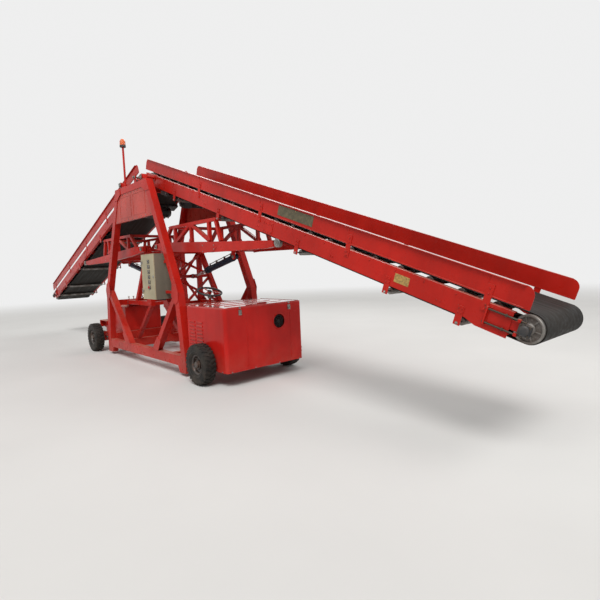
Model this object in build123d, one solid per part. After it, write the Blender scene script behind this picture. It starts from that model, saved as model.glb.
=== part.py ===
from build123d import *
import os
from math import asin, atan2, cos, degrees, hypot, radians, sin

# Mobile twin-boom belt conveyor for stacking bags: two belt booms hinged on a steel tower that
# rolls on four tyres. X runs along the booms, the front (+X) holds the oil tank and the step,
# the rear (-X) the power box. Y is across, left is +Y. Z is up and the floor is z = 0.
# All sizes are in millimetres.

# Driving dimensions: wheels and axles
TYRE_R = 270.0
TYRE_W = 160.0
RIM_R = 115.0
WHEEL_X = 2000.0
TRACK_HALF = 725.0
STUB_R = 30.0
HUB_R = 58.0
HUB_BORE_GAP = 0.5
AXLE_SIZE = 80.0
KINGPIN_Y = 560.0
KINGPIN_R = 16.0
SLEEVE_R = 36.0
SLEEVE_H = 130.0
FORK_LUG = 22.0
SEAT_GAP = 0.3

# Driving dimensions: side frames of the tower
FRAME_IN = 570.0
FRAME_T = 100.0
TOP_Z = 2870.0
TOP_HALF = 610.0
TOP_BEAM = 100.0
KNEE_Z = 1180.0
KNEE_HALF = 1385.0
FOOT_HALF = 1490.0
FOOT_Z = 50.0
FOOT_LEN = 190.0
LOW_Z0 = 145.0
LOW_Z1 = 285.0
LEG_W = 118.0
BRACE_W = 112.0
BRACE_FOOT = 520.0
PANEL_Z0 = 2320.0
PANEL_T = 5.0
PANEL_LIP = 45.0
SEAT_HALF = 65.0
BEARING_R = 45.0
BRIDGE_R = 60.0
BRIDGE_SHAFT_R = 15.0
BRIDGE_Z = 2990.0
BRIDGE_HALF = 350.0
BRIDGE_PLATE = 12.0

# Driving dimensions: cross-beams and subframes
BEAM_W = 100.0
END_X = 1340.0
END_Z1 = 385.0
MID_X = 960.0
KNEE_BEAM_W = 80.0
KNEE_BEAM_Z0 = 890.0
KNEE_BEAM_Z1 = 990.0
TIE_Z0 = TOP_Z - 90.0
TIE_SIZE = 80.0
RAIL_Z0 = TYRE_R + AXLE_SIZE / 2 + SEAT_GAP
RAIL_H = 78.0
RAIL_W = 60.0
RAIL_Y = 330.0
SUBFRAME_REAR = 2410.0
SUBFRAME_FRONT = 2470.0

# Driving dimensions: boom, in its own line (s runs down to the tail, n is up from the pivot)
PIVOT_X = 420.0
PIVOT_Z = 2925.0
PIN_R = 22.0
PIN_GAP = 0.5
SLOPE = 19.0
RAISE = 29.0
HEAD_S = -200.0
TAIL_S = 5830.0
PULLEY_N = -55.0
PULLEY_R = 105.0
PULLEY_HALF = 385.0
SHAFT_R = 20.0
BELT_T = 8.0
BELT_HALF = 370.0
CHAN_N0 = -135.0
CHAN_N1 = 35.0
CHAN_OUT = 450.0
CHAN_FLANGE = 50.0
CHAN_T = 6.0
CHAN_S0 = -300.0
CHAN_S1 = 5725.0
TAIL_PLATE_N = -162.0
TAIL_PLATE_LEN = 330.0
CARRY_R = 38.0
CARRY_PITCH = 290.0
CARRY_FIRST = 60.0
CARRY_COUNT = 20
RETURN_R = 30.0
IDLER_DROP = 15.0
MEMBER_N0 = -115.0
MEMBER_N1 = -60.0
MEMBER_FIRST = 355.0
MEMBER_PITCH = 1200.0
MEMBER_COUNT = 5
# the third return roller lies this far beyond the arm's tip
RETURN_PAST_TIP = 343.0
SKIRT_GAP = 45.0
SKIRT_T = 4.0
SKIRT_H = 160.0
SKIRT_S0 = -330.0
SKIRT_S1 = 5815.0
SKIRT_LIP = 20.0
SKIRT_ROUND = 70.0
STRAP_FIRST = 1350.0
STRAP_END = 270.0
STRAP_COUNT = 4
STRAP_W = 55.0
STRAP_PITCH = (SKIRT_S1 - STRAP_END - STRAP_W - STRAP_FIRST) / (STRAP_COUNT - 1)
STRAP_T = 6.0
DRIVE_S0 = 240.0
DRIVE_LEN = 180.0
DRIVE_GAP = 15.0
MOTOR_R = 75.0

# Driving dimensions: mast, lifting arm and cylinder (front side, mirrored for the rear)
MAST_Y = 310.0
MAST_W = 70.0
ARM_X = 300.0
ARM_Z = 1870.0
ARM_PIN_R = 24.0
MAST_FOOT_IN = 270.0
MAST_FOOT_OUT = 900.0
MAST_RAIL_IN = 225.0
ARM_Y = 400.0
ARM_T = 60.0
ARM_LEN = 3000.0
TIP_R = 50.0
TIP_GAP = 0.5
TRUSS_Z1 = 2150.0
TRUSS_SIZE = 45.0
EYE_IN = (690.0, 1385.0)
EYE_OUT = (1850.0, 1640.0)
EYE_R = 36.0
EYE_W = 50.0
EYE_GAP = 3.0
BARREL_R = 45.0
BARREL_LEN = 800.0
ROD_R = 25.0
ROD_START = 430.0
LUG_T = 14.0

# Driving dimensions: boxes on the chassis
BOX_X0 = -2470.0
BOX_GAP = 10.0
BOX_HALF = 630.0
BOX_Z0 = 185.0
BOX_Z1 = 980.0
BOX_WALL = 4.0
BOX_ROUND = 45.0
BOX_HOLE_R = 95.0
BOX_HOLE_Y = -220.0
BOX_HOLE_DROP = 227.0
ENGINE_GAP = 150.0
ENGINE_LEN = 600.0
ENGINE_H = 420.0
LID_T = 18.0
# hinges of the lid and the door
HINGE_R = 7.0
HINGE_PIN_R = 3.0
HINGE_LEN = 40.0
HINGE_OUT = 9.0
TANK_GAP = 10.0
TANK_X1 = 2130.0
TANK_HALF = 350.0
TANK_Z1 = 840.0
CAB_LEN = 420.0
CAB_GAP = 65.0
CAB_Y0 = 520.0
CAB_Y1 = 780.0
CAB_Z0 = 1080.0
CAB_Z1 = 1740.0
CAB_WALL = 4.0
DOOR_T = 15.0
CAB_ARM = 20.0
BEACON_X = 300.0
POLE_R = 16.0
POLE_TOP = 3540.0
LAMP_R = 45.0
LAMP_H = 110.0
STEP_X0 = 2150.0
STEP_X1 = 2560.0
STEP_HALF = 450.0
STEP_Z0 = 400.0
STEP_Z1 = 540.0
TOW_R = 25.0
GUSSET_R = 170.0

# Driving dimensions: steering linkage
ARM_REACH = 135.0
TIE_Z = 272.0
TIE_R = 11.0
TIE_PIN_R = 8.0
TIE_EYE_R = 20.0
TIE_EYE_H = 24.0

FRAME_OUT = FRAME_IN + FRAME_T
FRAME_MID = FRAME_IN + FRAME_T / 2
PULLEY_TOP = PULLEY_N + PULLEY_R
PULLEY_LOW = PULLEY_N - PULLEY_R
RETURN_N = PULLEY_LOW - BELT_T - SEAT_GAP - RETURN_R
SKIRT_N0 = CHAN_N1 + SKIRT_GAP
ARM_OFFSET = CHAN_N0 - TIP_R - TIP_GAP


def block(x0, x1, y0, y1, z0, z1):
    """A box between two corners."""
    return Pos((x0 + x1) / 2, (y0 + y1) / 2, (z0 + z1) / 2) * Box(x1 - x0, y1 - y0, z1 - z0)


def plate(points, y0, y1):
    """An outline of (x, z) points, as thick as y0 to y1."""
    return extrude(Plane.XZ.offset(-y1) * Polygon(*points, align=None), amount=y1 - y0, dir=(0, -1, 0))


def bar(p, q, width, y0, y1):
    """A straight bar in the XZ plane from point p to point q."""
    length = hypot(q[0] - p[0], q[1] - p[1])
    turn = degrees(atan2(q[1] - p[1], q[0] - p[0]))
    flat = Pos((p[0] + q[0]) / 2, (y0 + y1) / 2, (p[1] + q[1]) / 2) * Rot(0, -turn, 0)
    return flat * Box(length, y1 - y0, width)


def strut(p, q, width):
    """A square bar between two points in space."""
    a = Vector(*p)
    b = Vector(*q)
    line = Plane(a, z_dir=b - a)
    return extrude(line * Rectangle(width, width), amount=(b - a).length)


def round_y(x, z, radius, y0, y1):
    """A cylinder along Y."""
    return Pos(x, (y0 + y1) / 2, z) * Rot(90, 0, 0) * Cylinder(radius, y1 - y0)


def meet(p, q, r, t):
    """The point where line pq crosses line rt."""
    a = (q[0] - p[0], q[1] - p[1])
    b = (t[0] - r[0], t[1] - r[1])
    k = ((r[0] - p[0]) * b[1] - (r[1] - p[1]) * b[0]) / (a[0] * b[1] - a[1] * b[0])
    return (p[0] + k * a[0], p[1] + k * a[1])


def flip(points):
    """The same outline on the other side of x = 0."""
    return [(-x, z) for x, z in points]


def fused(solids):
    """One solid from several that touch or cross."""
    return solids[0].fuse(*solids[1:])


def both_sides(solid):
    """A solid and its mirror image across the middle plane y = 0."""
    return [solid, solid.mirror(Plane.XZ)]


def save(name, shape):
    """Writes one piece of the machine; a list becomes one file of separate solids."""
    if isinstance(shape, list):
        shape = Compound(shape)
    export_step(shape, "parts/" + name + ".step")


def arm_angle(slope):
    """The lifting arm's angle, up from level, with its roller under a boom at this slope."""
    b = radians(slope)
    reach = (PIVOT_X - ARM_X) * sin(b) + (PIVOT_Z - ARM_Z) * cos(b) + ARM_OFFSET
    return degrees(asin(reach / ARM_LEN)) - slope


def turned(point, centre, angle):
    """A point turned about a centre in the XZ plane, up for the front side."""
    a = radians(angle)
    dx = point[0] - centre[0]
    dz = point[1] - centre[1]
    return (centre[0] + dx * cos(a) - dz * sin(a), centre[1] + dx * sin(a) + dz * cos(a))


ARM_REST = arm_angle(SLOPE)
ARM_HIGH = arm_angle(SLOPE - RAISE)
ARM_PIVOT = (ARM_X, ARM_Z)
ARM_TURN = ARM_HIGH - ARM_REST
EYE_OUT_HIGH = turned(EYE_OUT, ARM_PIVOT, ARM_TURN)
CYL_LOW = hypot(EYE_OUT[0] - EYE_IN[0], EYE_OUT[1] - EYE_IN[1])
CYL_HIGH = hypot(EYE_OUT_HIGH[0] - EYE_IN[0], EYE_OUT_HIGH[1] - EYE_IN[1])
CYL_REST_ANGLE = degrees(atan2(EYE_OUT[1] - EYE_IN[1], EYE_OUT[0] - EYE_IN[0]))
CYL_HIGH_ANGLE = degrees(atan2(EYE_OUT_HIGH[1] - EYE_IN[1], EYE_OUT_HIGH[0] - EYE_IN[0]))
CYL_TURN = CYL_HIGH_ANGLE - CYL_REST_ANGLE - ARM_TURN
TIP = (ARM_X + ARM_LEN * cos(radians(ARM_REST)), ARM_Z + ARM_LEN * sin(radians(ARM_REST)))
TIP_S = (TIP[0] - PIVOT_X) * cos(radians(SLOPE)) + (PIVOT_Z - TIP[1]) * sin(radians(SLOPE))
RETURN_AT = (700.0, 1900.0, TIP_S + RETURN_PAST_TIP, 4650.0, 5350.0)


def leg_x(z):
    """Outer edge of a tower leg at a height."""
    if z > KNEE_Z:
        return TOP_HALF + (TOP_Z - z) / (TOP_Z - KNEE_Z) * (KNEE_HALF - TOP_HALF)
    return KNEE_HALF + (KNEE_Z - z) / (KNEE_Z - LOW_Z0) * (FOOT_HALF - KNEE_HALF)


KNEE_BEAM_X = leg_x((KNEE_BEAM_Z0 + KNEE_BEAM_Z1) / 2) - LEG_W / 2
BOX_X1 = -max(FOOT_HALF, KNEE_HALF, END_X + BEAM_W / 2) - BOX_GAP
TANK_X0 = max(END_X + BEAM_W / 2, KNEE_BEAM_X + KNEE_BEAM_W / 2) + TANK_GAP
CAB_X0 = -(leg_x(CAB_Z1) - LEG_W - CAB_GAP)
CAB_X1 = CAB_X0 + CAB_LEN
LID_AXIS = (BOX_X1 + HINGE_OUT, BOX_Z1 + SEAT_GAP + LID_T / 2)
LID_HINGE_Y = (-0.7 * BOX_HALF, 0, 0.7 * BOX_HALF)
DOOR_AXIS = (CAB_X1 + HINGE_OUT, CAB_Y1 + SEAT_GAP + DOOR_T)
DOOR_HINGE_Z = (CAB_Z0 + 120, CAB_Z1 - 120)


def side_frame():
    """The left side frame: a kinked A-frame with a brace from each knee, on a bottom beam."""
    half_brace = BRACE_W / 2
    knee_mid = KNEE_HALF - LEG_W / 2
    brace_in = ((knee_mid - half_brace, KNEE_Z), (BRACE_FOOT - half_brace, LOW_Z1))
    brace_out = ((knee_mid + half_brace, KNEE_Z), (BRACE_FOOT + half_brace, LOW_Z1))
    leg_top = ((leg_x(TOP_Z) - LEG_W, TOP_Z), (leg_x(KNEE_Z) - LEG_W, KNEE_Z))
    leg_low = ((leg_x(KNEE_Z) - LEG_W, KNEE_Z), (leg_x(LOW_Z0) - LEG_W, LOW_Z0))
    knee_in = meet(*leg_top, *brace_in)
    crotch = meet(*leg_low, *brace_out)
    window_z1 = TOP_Z - TOP_BEAM
    right = [(TOP_HALF, TOP_Z), (KNEE_HALF, KNEE_Z), (FOOT_HALF, LOW_Z0)]
    right += [(FOOT_HALF - 15, FOOT_Z), (FOOT_HALF - FOOT_LEN, FOOT_Z)]
    right += [(FOOT_HALF - FOOT_LEN - 45, LOW_Z0)]
    outline = right + flip(right)[::-1]
    window = [(leg_x(window_z1) - LEG_W, window_z1), knee_in, brace_in[1]]
    window += flip(window)[::-1]
    corner = [(leg_x(LOW_Z1) - LEG_W, LOW_Z1), crotch, brace_out[1]]
    body = plate(outline, FRAME_IN, FRAME_OUT)
    for hole in (window, corner, flip(corner)):
        body -= plate(hole, FRAME_IN - 1, FRAME_OUT + 1)
    solids = [body]
    for side in (-1, 1):
        x = side * PIVOT_X
        seat = [(x - SEAT_HALF, TOP_Z - 20), (x + SEAT_HALF, TOP_Z - 20)]
        seat += [(x + BEARING_R - 5, PIVOT_Z + 20), (x - BEARING_R + 5, PIVOT_Z + 20)]
        solids.append(plate(seat, FRAME_MID - 30, FRAME_MID + 30))
        solids.append(round_y(x, PIVOT_Z, BEARING_R, FRAME_MID - 35, FRAME_MID + 35))
        solids.append(round_y(x, PIVOT_Z, PIN_R, CHAN_OUT - CHAN_FLANGE, FRAME_MID + 45))
    bracket = [(-40, TOP_Z - 20), (40, TOP_Z - 20), (25, BRIDGE_Z + 35), (-25, BRIDGE_Z + 35)]
    bridge_plate = plate(bracket, FRAME_IN + 5, FRAME_IN + 5 + BRIDGE_PLATE)
    solids.append(bridge_plate - round_y(0, BRIDGE_Z, BRIDGE_SHAFT_R + PIN_GAP, 0, FRAME_OUT))
    return fused(solids)


def side_panel():
    """The sheet between the legs at the top of a side frame, with a folded lip below."""
    z1 = TOP_Z - TOP_BEAM - SEAT_GAP
    half_top = leg_x(z1) - LEG_W - SEAT_GAP
    half_low = leg_x(PANEL_Z0) - LEG_W - SEAT_GAP
    y1 = FRAME_OUT - 10
    outline = [(half_top, z1), (half_low, PANEL_Z0), (-half_low, PANEL_Z0), (-half_top, z1)]
    sheet = plate(outline, y1 - PANEL_T, y1)
    lip_half = leg_x(PANEL_Z0 + PANEL_T) - LEG_W - SEAT_GAP
    lip = block(-lip_half, lip_half, y1 - PANEL_LIP, y1, PANEL_Z0, PANEL_Z0 + PANEL_T)
    return fused([sheet, lip])


def cross_beams():
    """Beams from one side frame to the other."""
    # place: x centre, z low, z high, width along x
    table = (
        (END_X, LOW_Z0, END_Z1, BEAM_W),
        (-END_X, LOW_Z0, END_Z1, BEAM_W),
        (MID_X, LOW_Z0, LOW_Z1, BEAM_W),
        (-MID_X, LOW_Z0, LOW_Z1, BEAM_W),
        (KNEE_BEAM_X, KNEE_BEAM_Z0, KNEE_BEAM_Z1, KNEE_BEAM_W),
        (-KNEE_BEAM_X, KNEE_BEAM_Z0, KNEE_BEAM_Z1, KNEE_BEAM_W),
        (0, TIE_Z0, TIE_Z0 + TIE_SIZE, TIE_SIZE),
    )
    beams = []
    for x, z0, z1, width in table:
        beams.append(block(x - width / 2, x + width / 2, -FRAME_IN, FRAME_IN, z0, z1))
    return beams


def mast():
    """The front mast: two A-frames that carry the lifting arm, tied and braced across."""
    y0 = MAST_Y - MAST_W / 2
    y1 = MAST_Y + MAST_W / 2
    rail_z0 = KNEE_BEAM_Z0 + 10
    rail_z1 = KNEE_BEAM_Z1 - 10
    rail_end = KNEE_BEAM_X - KNEE_BEAM_W / 2
    leg = [(MAST_RAIL_IN, rail_z0 + 30), (MAST_RAIL_IN + 90, rail_z0 + 30)]
    leg += [(MID_X + 45, LOW_Z1), (MID_X - 45, LOW_Z1)]
    half = [
        bar(ARM_PIVOT, (MAST_FOOT_IN, rail_z0 + 20), MAST_W, y0, y1),
        bar(ARM_PIVOT, (MAST_FOOT_OUT, rail_z0 + 20), MAST_W, y0, y1),
        block(MAST_RAIL_IN, rail_end, y0, y1, rail_z0, rail_z1),
        plate(leg, y0, y1),
        round_y(ARM_X, ARM_Z, 62, y0, y1 + 5),
        round_y(ARM_X, ARM_Z, ARM_PIN_R, y1, ARM_Y + ARM_T / 2 + 8),
    ]
    solids = []
    for piece in half:
        solids += both_sides(piece)
    strut_x = ARM_X + (ARM_Z - EYE_IN[1]) / (ARM_Z - rail_z0) * (MAST_FOOT_OUT - ARM_X)
    ties = (
        (ARM_X, ARM_Z - 90, 50),
        (strut_x, EYE_IN[1], 50),
        (MAST_FOOT_OUT - 30, rail_z0 + 35, 60),
        (MAST_FOOT_IN, rail_z0 + 40, 60),
    )
    for x, z, size in ties:
        solids.append(block(x - size / 2, x + size / 2, -y0 - 5, y0 + 5, z - size / 2, z + size / 2))
    for y in (-1, 1):
        y1 = y * y0
        solids.append(strut((ARM_X - 6, -y1, ARM_Z - 120), (MAST_FOOT_IN + 4, y1, rail_z1), 32))
        solids.append(strut((ARM_X + 90, -y1, ARM_Z - 140), (strut_x - 24, y1, EYE_IN[1] + 40), 32))
        solids.append(strut((strut_x + 16, -y1, EYE_IN[1] - 40), (MAST_FOOT_OUT - 40, y1, rail_z1), 32))
    for side in (-1, 1):
        a = side * (EYE_W / 2 + EYE_GAP)
        b = side * (EYE_W / 2 + EYE_GAP + LUG_T)
        lug = [(strut_x, EYE_IN[1] + 25), (strut_x, EYE_IN[1] - 25)]
        lug += [(EYE_IN[0], EYE_IN[1] - EYE_R), (EYE_IN[0], EYE_IN[1] + EYE_R)]
        solids.append(plate(lug, min(a, b), max(a, b)))
        solids.append(round_y(EYE_IN[0], EYE_IN[1], EYE_R, min(a, b), max(a, b)))
    return fused(solids)


def lifting_arm():
    """The front lifting arm: two tapered side beams with a truss on top, tied across."""
    y0 = ARM_Y - ARM_T / 2
    y1 = ARM_Y + ARM_T / 2
    tip_x = TIP[0]
    tip_z = TIP[1]
    beam = [
        (ARM_X - 60, ARM_Z - 45), (ARM_X - 60, ARM_Z + 45), (ARM_X + 300, ARM_Z + 50),
        (tip_x - 130, tip_z + 35), (tip_x + 30, tip_z + 30), (tip_x + 30, tip_z - 30),
        (tip_x - 200, tip_z - 50), (EYE_OUT[0], ARM_Z - 165), (ARM_X + 400, ARM_Z - 95),
    ]
    bore = round_y(ARM_X, ARM_Z, ARM_PIN_R + PIN_GAP, y0 - 1, y1 + 1)
    side_beam = plate(beam, y0, y1) - bore
    # the tip is a thin plate inside its roller
    side_beam -= block(tip_x - 75, tip_x + 80, y0 + 22, y1 + 1, tip_z - 90, tip_z + 90)
    # truss members: x and z of both ends, all in the plane of the side beam
    top = TRUSS_Z1 - TRUSS_SIZE / 2
    foot = ARM_Z + 20
    members = (
        ((760, top), (2040, top)),
        ((520, foot), (780, top)),
        ((900, foot), (900, top)),
        ((1380, foot - 20), (1380, top)),
        ((1860, foot - 30), (1860, top)),
        ((2130, foot - 50), (2030, top)),
        ((900, foot), (1380, top)),
        ((1860, foot - 30), (1380, top)),
    )
    half = [side_beam, round_y(tip_x, tip_z, 18, y0 + 10, ARM_Y + 36)]
    for p, q in members:
        half.append(bar(p, q, TRUSS_SIZE, ARM_Y - TRUSS_SIZE / 2, ARM_Y + TRUSS_SIZE / 2))
    solids = []
    for piece in half:
        solids += both_sides(piece)
    # cross ties: x, z, size
    ties = (
        (620, ARM_Z - 5, 50),
        (1380, ARM_Z - 70, 50),
        (EYE_OUT[0], ARM_Z - 105, 90),
        (2650, ARM_Z - 90, 50),
    )
    for x, z, size in ties:
        solids.append(block(x - size / 2, x + size / 2, -y0 - 5, y0 + 5, z - size / 2, z + size / 2))
    half_tie = TRUSS_SIZE / 2
    for x in (800, 2030):
        solids.append(block(x - half_tie, x + half_tie, -ARM_Y, ARM_Y, TRUSS_Z1 - TRUSS_SIZE, TRUSS_Z1))
    for side in (-1, 1):
        solids.append(strut((640, -side * y0, ARM_Z - 10), (1360, side * y0, ARM_Z - 70), 30))
        solids.append(strut((1900, -side * y0, ARM_Z - 95), (2630, side * y0, ARM_Z - 90), 30))
        a = side * (EYE_W / 2 + EYE_GAP)
        b = side * (EYE_W / 2 + EYE_GAP + LUG_T)
        lug = [(EYE_OUT[0] - 45, ARM_Z - 110), (EYE_OUT[0] + 45, ARM_Z - 110)]
        lug += [(EYE_OUT[0] + EYE_R, EYE_OUT[1]), (EYE_OUT[0] - EYE_R, EYE_OUT[1])]
        solids.append(plate(lug, min(a, b), max(a, b)))
        solids.append(round_y(EYE_OUT[0], EYE_OUT[1], EYE_R, min(a, b), max(a, b)))
    body = fused(solids)
    pin = round_y(EYE_OUT[0], EYE_OUT[1], 15, -EYE_W / 2 - EYE_GAP - 1, EYE_W / 2 + EYE_GAP + 1)
    return body.fuse(pin)


def arm_rollers():
    """The rollers at the tip of the lifting arm, which run under the boom's channels."""
    roller = round_y(TIP[0], TIP[1], TIP_R, ARM_Y - 7, ARM_Y + 33)
    roller -= round_y(TIP[0], TIP[1], 18 + SEAT_GAP, ARM_Y - 8, ARM_Y + 34)
    return both_sides(roller)


def on_cylinder(solid):
    """Places a solid made along +X from the outer eye towards the inner eye."""
    return Pos(EYE_OUT[0], 0, EYE_OUT[1]) * Rot(0, 180 - CYL_REST_ANGLE, 0) * solid


def along_x(x0, x1, radius):
    """A cylinder along X."""
    return Pos((x0 + x1) / 2, 0, 0) * Rot(0, 90, 0) * Cylinder(radius, x1 - x0)


def barrel():
    """The cylinder's barrel, with its eye on the arm and a gland at its mouth."""
    eye = round_y(0, 0, EYE_R, -EYE_W / 2, EYE_W / 2)
    neck = block(0, EYE_R + 20, -EYE_W / 2, EYE_W / 2, -EYE_R + 6, EYE_R - 6)
    tube = along_x(EYE_R + 10, BARREL_LEN - 60, BARREL_R)
    gland = along_x(BARREL_LEN - 70, BARREL_LEN, BARREL_R + 5)
    body = fused([eye, neck, tube, gland])
    body -= along_x(110, BARREL_LEN + 1, ROD_R + PIN_GAP)
    body -= round_y(0, 0, 15 + PIN_GAP, -EYE_W, EYE_W)
    return on_cylinder(body)


def rod():
    """The cylinder's rod, whose eye lies between the mast's lugs."""
    eye = round_y(CYL_LOW, 0, EYE_R - 4, -EYE_W / 2, EYE_W / 2)
    return on_cylinder(fused([along_x(ROD_START, CYL_LOW - 10, ROD_R), eye]))


def on_boom(shape):
    """Places a solid made in the boom's own line on the front of the tower."""
    return Pos(PIVOT_X, 0, PIVOT_Z) * Rot(0, SLOPE, 0) * shape


def boom_frame():
    """Two channels with the boom's pivot bosses, tied by cross members inside the belt loop."""
    web = block(CHAN_S0, CHAN_S1, CHAN_OUT - CHAN_T, CHAN_OUT, CHAN_N0, CHAN_N1)
    top = block(CHAN_S0, CHAN_S1, CHAN_OUT - CHAN_FLANGE, CHAN_OUT, CHAN_N1 - CHAN_T, CHAN_N1)
    low = block(CHAN_S0, CHAN_S1, CHAN_OUT - CHAN_FLANGE, CHAN_OUT, CHAN_N0, CHAN_N0 + CHAN_T)
    # the tail arm carries the take-up bearing past the end of the channel
    web_in = CHAN_OUT - CHAN_T
    arm = block(CHAN_S1 - 150, TAIL_S + 20, web_in - CHAN_T, web_in, PULLEY_N - 35, PULLEY_N + 35)
    half = [web, top, low, arm, round_y(0, 0, 48, CHAN_OUT - CHAN_FLANGE + 5, CHAN_OUT + 12)]
    # the web is deeper at its tail end
    deep = [(CHAN_S1 - TAIL_PLATE_LEN, CHAN_N0 + 1), (CHAN_S1 - TAIL_PLATE_LEN + 90, TAIL_PLATE_N)]
    deep += [(CHAN_S1, TAIL_PLATE_N), (CHAN_S1, CHAN_N0 + 1)]
    half.append(plate(deep, web_in, CHAN_OUT))
    # the return idlers hang from plates on the outside of the channels
    for s in RETURN_AT:
        half.append(block(s - 28, s + 28, CHAN_OUT - 1, CHAN_OUT + 5, RETURN_N - IDLER_DROP, CHAN_N0 + 75))
    solids = []
    for piece in half:
        solids += both_sides(piece)
    for i in range(MEMBER_COUNT):
        s = MEMBER_FIRST + i * MEMBER_PITCH
        solids.append(block(s - 30, s + 30, -web_in - 1, web_in + 1, MEMBER_N0, MEMBER_N1))
    body = fused(solids)
    body -= round_y(0, 0, PIN_R + PIN_GAP, -CHAN_OUT - 20, CHAN_OUT + 20)
    return on_boom(body)


def skirt_outline():
    """One skirt board's outline in (s, n), with its upper corners well rounded."""
    top = SKIRT_N0 + SKIRT_H
    points = [(SKIRT_S0, SKIRT_N0), (SKIRT_S0, top), (SKIRT_S1, top), (SKIRT_S1, SKIRT_N0)]
    radii = [8, SKIRT_ROUND, SKIRT_ROUND, 8]
    face = Polygon(*points, align=None)
    for point, radius in zip(points, radii):
        corner = face.vertices().sort_by_distance(Vector(point[0], point[1], 0))[0]
        face = fillet(corner, radius)
    return face


def boom_skirts():
    """The skirt boards along both sides of the belt, with the straps that hold them."""
    y0 = CHAN_OUT - SKIRT_T
    board = extrude(Plane.XZ.offset(-CHAN_OUT) * skirt_outline(), amount=SKIRT_T, dir=(0, -1, 0))
    top = SKIRT_N0 + SKIRT_H
    lip = block(SKIRT_S0 + SKIRT_ROUND, SKIRT_S1 - SKIRT_ROUND, y0, CHAN_OUT + SKIRT_LIP, top - SKIRT_T, top)
    half = [board, lip]
    for i in range(STRAP_COUNT):
        s = STRAP_FIRST + i * STRAP_PITCH
        half.append(block(s, s + STRAP_W, CHAN_OUT, CHAN_OUT + STRAP_T, CHAN_N1 - 70, SKIRT_N0 + 90))
    return [on_boom(side) for side in both_sides(fused(half))]


def boom_belt():
    """The belt: one closed loop round the two pulleys."""
    length = TAIL_S - HEAD_S
    middle = Pos((TAIL_S + HEAD_S) / 2, PULLEY_N)
    ring = middle * SlotCenterToCenter(length, 2 * (PULLEY_R + BELT_T))
    ring -= middle * SlotCenterToCenter(length, 2 * PULLEY_R)
    return on_boom(extrude(Plane.XZ.offset(-BELT_HALF) * ring, amount=2 * BELT_HALF, dir=(0, -1, 0)))


def boom_rollers():
    """The head and tail pulleys and the carrying and return rollers, each on its shaft."""
    carry_n = PULLEY_TOP - SEAT_GAP - CARRY_R
    solids = []
    for s in (HEAD_S, TAIL_S):
        drum = round_y(s, PULLEY_N, PULLEY_R - SEAT_GAP, -PULLEY_HALF, PULLEY_HALF)
        reach = CHAN_OUT - 2 * CHAN_T - SEAT_GAP
        solids.append(drum + round_y(s, PULLEY_N, SHAFT_R, -reach, reach))
    for i in range(CARRY_COUNT):
        s = CARRY_FIRST + i * CARRY_PITCH
        reach = CHAN_OUT - CHAN_T - SEAT_GAP
        drum = round_y(s, carry_n, CARRY_R, -BELT_HALF - 8, BELT_HALF + 8)
        solids.append(drum + round_y(s, carry_n, 9, -reach, reach))
    for s in RETURN_AT:
        reach = CHAN_OUT - 1 - SEAT_GAP
        drum = round_y(s, RETURN_N, RETURN_R, -BELT_HALF - 8, BELT_HALF + 8)
        solids.append(drum + round_y(s, RETURN_N, 8, -reach, reach))
    return [on_boom(solid) for solid in solids]


def boom_drive():
    """The drive motor slung under the boom's head, and the four bearing blocks of the pulleys."""
    seat = PULLEY_LOW - BELT_T - DRIVE_GAP
    s0 = DRIVE_S0
    s1 = DRIVE_S0 + DRIVE_LEN
    middle = (s0 + s1) / 2
    motor = Pos(middle, -120, seat - 100) * Rot(90, 0, 0) * Cylinder(MOTOR_R, 260)
    gear = block(middle - 80, middle + 80, 10, 120, seat - 185, seat - 15)
    feet = block(s0, s1, -235, 110, seat - 30, seat - 20)
    hanger = block(s0, s1, -CHAN_OUT + 10, CHAN_OUT - 10, seat - 20, seat)
    solids = [motor, gear, feet, hanger]
    # legs past the edges of the belt, up to the channels
    solids += both_sides(block(s0, s1, CHAN_OUT - CHAN_FLANGE, CHAN_OUT - 10, seat - 20, CHAN_N0 - SEAT_GAP))
    solids = [fused(solids)]
    for s in (HEAD_S, TAIL_S):
        y0 = CHAN_OUT
        if s == TAIL_S:
            y0 = CHAN_OUT - CHAN_T
        solids += both_sides(block(s - 42, s + 42, y0, y0 + 26, PULLEY_N - 40, PULLEY_N + 40))
    return [on_boom(solid) for solid in solids]


def wheel_parts(x, y_sign):
    """A tyre and a rim with its hub, on one side of an axle."""
    half = TYRE_W / 2
    # tyre section: radius, offset from the wheel's middle
    section = [
        (RIM_R + SEAT_GAP, -half + 25), (RIM_R + 45, -half), (TYRE_R - 45, -half),
        (TYRE_R - 8, -half + 22), (TYRE_R, 0), (TYRE_R - 8, half - 22),
        (TYRE_R - 45, half), (RIM_R + 45, half), (RIM_R + SEAT_GAP, half - 25),
    ]
    tyre = revolve(Plane.XY * Polygon(*section, align=None), Axis.Y)
    dish = [
        (STUB_R + HUB_BORE_GAP, -half + 5), (HUB_R, -half + 5), (HUB_R, -12), (RIM_R - 10, -2),
        (RIM_R - 10, -half + 25), (RIM_R, -half + 25), (RIM_R, half - 25), (RIM_R - 10, half - 25),
        (RIM_R - 10, 12), (HUB_R, 4), (HUB_R, half - 30), (STUB_R + HUB_BORE_GAP, half - 30),
    ]
    rim = revolve(Plane.XY * Polygon(*dish, align=None), Axis.Y)
    place = Pos(x, y_sign * TRACK_HALF, TYRE_R)
    if y_sign < 0:
        tyre = tyre.mirror(Plane.XZ)
        rim = rim.mirror(Plane.XZ)
    return place * tyre, place * rim


def stub(y0, flange_y):
    """A stub axle along +Y with its flange and end nut, at the height of the wheels."""
    end = TRACK_HALF + TYRE_W / 2 - 28
    return [
        round_y(0, TYRE_R, 50, y0, flange_y),
        round_y(0, TYRE_R, STUB_R, flange_y - 1, end),
        round_y(0, TYRE_R, STUB_R + 10, end - 1, end + 12),
    ]


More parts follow.
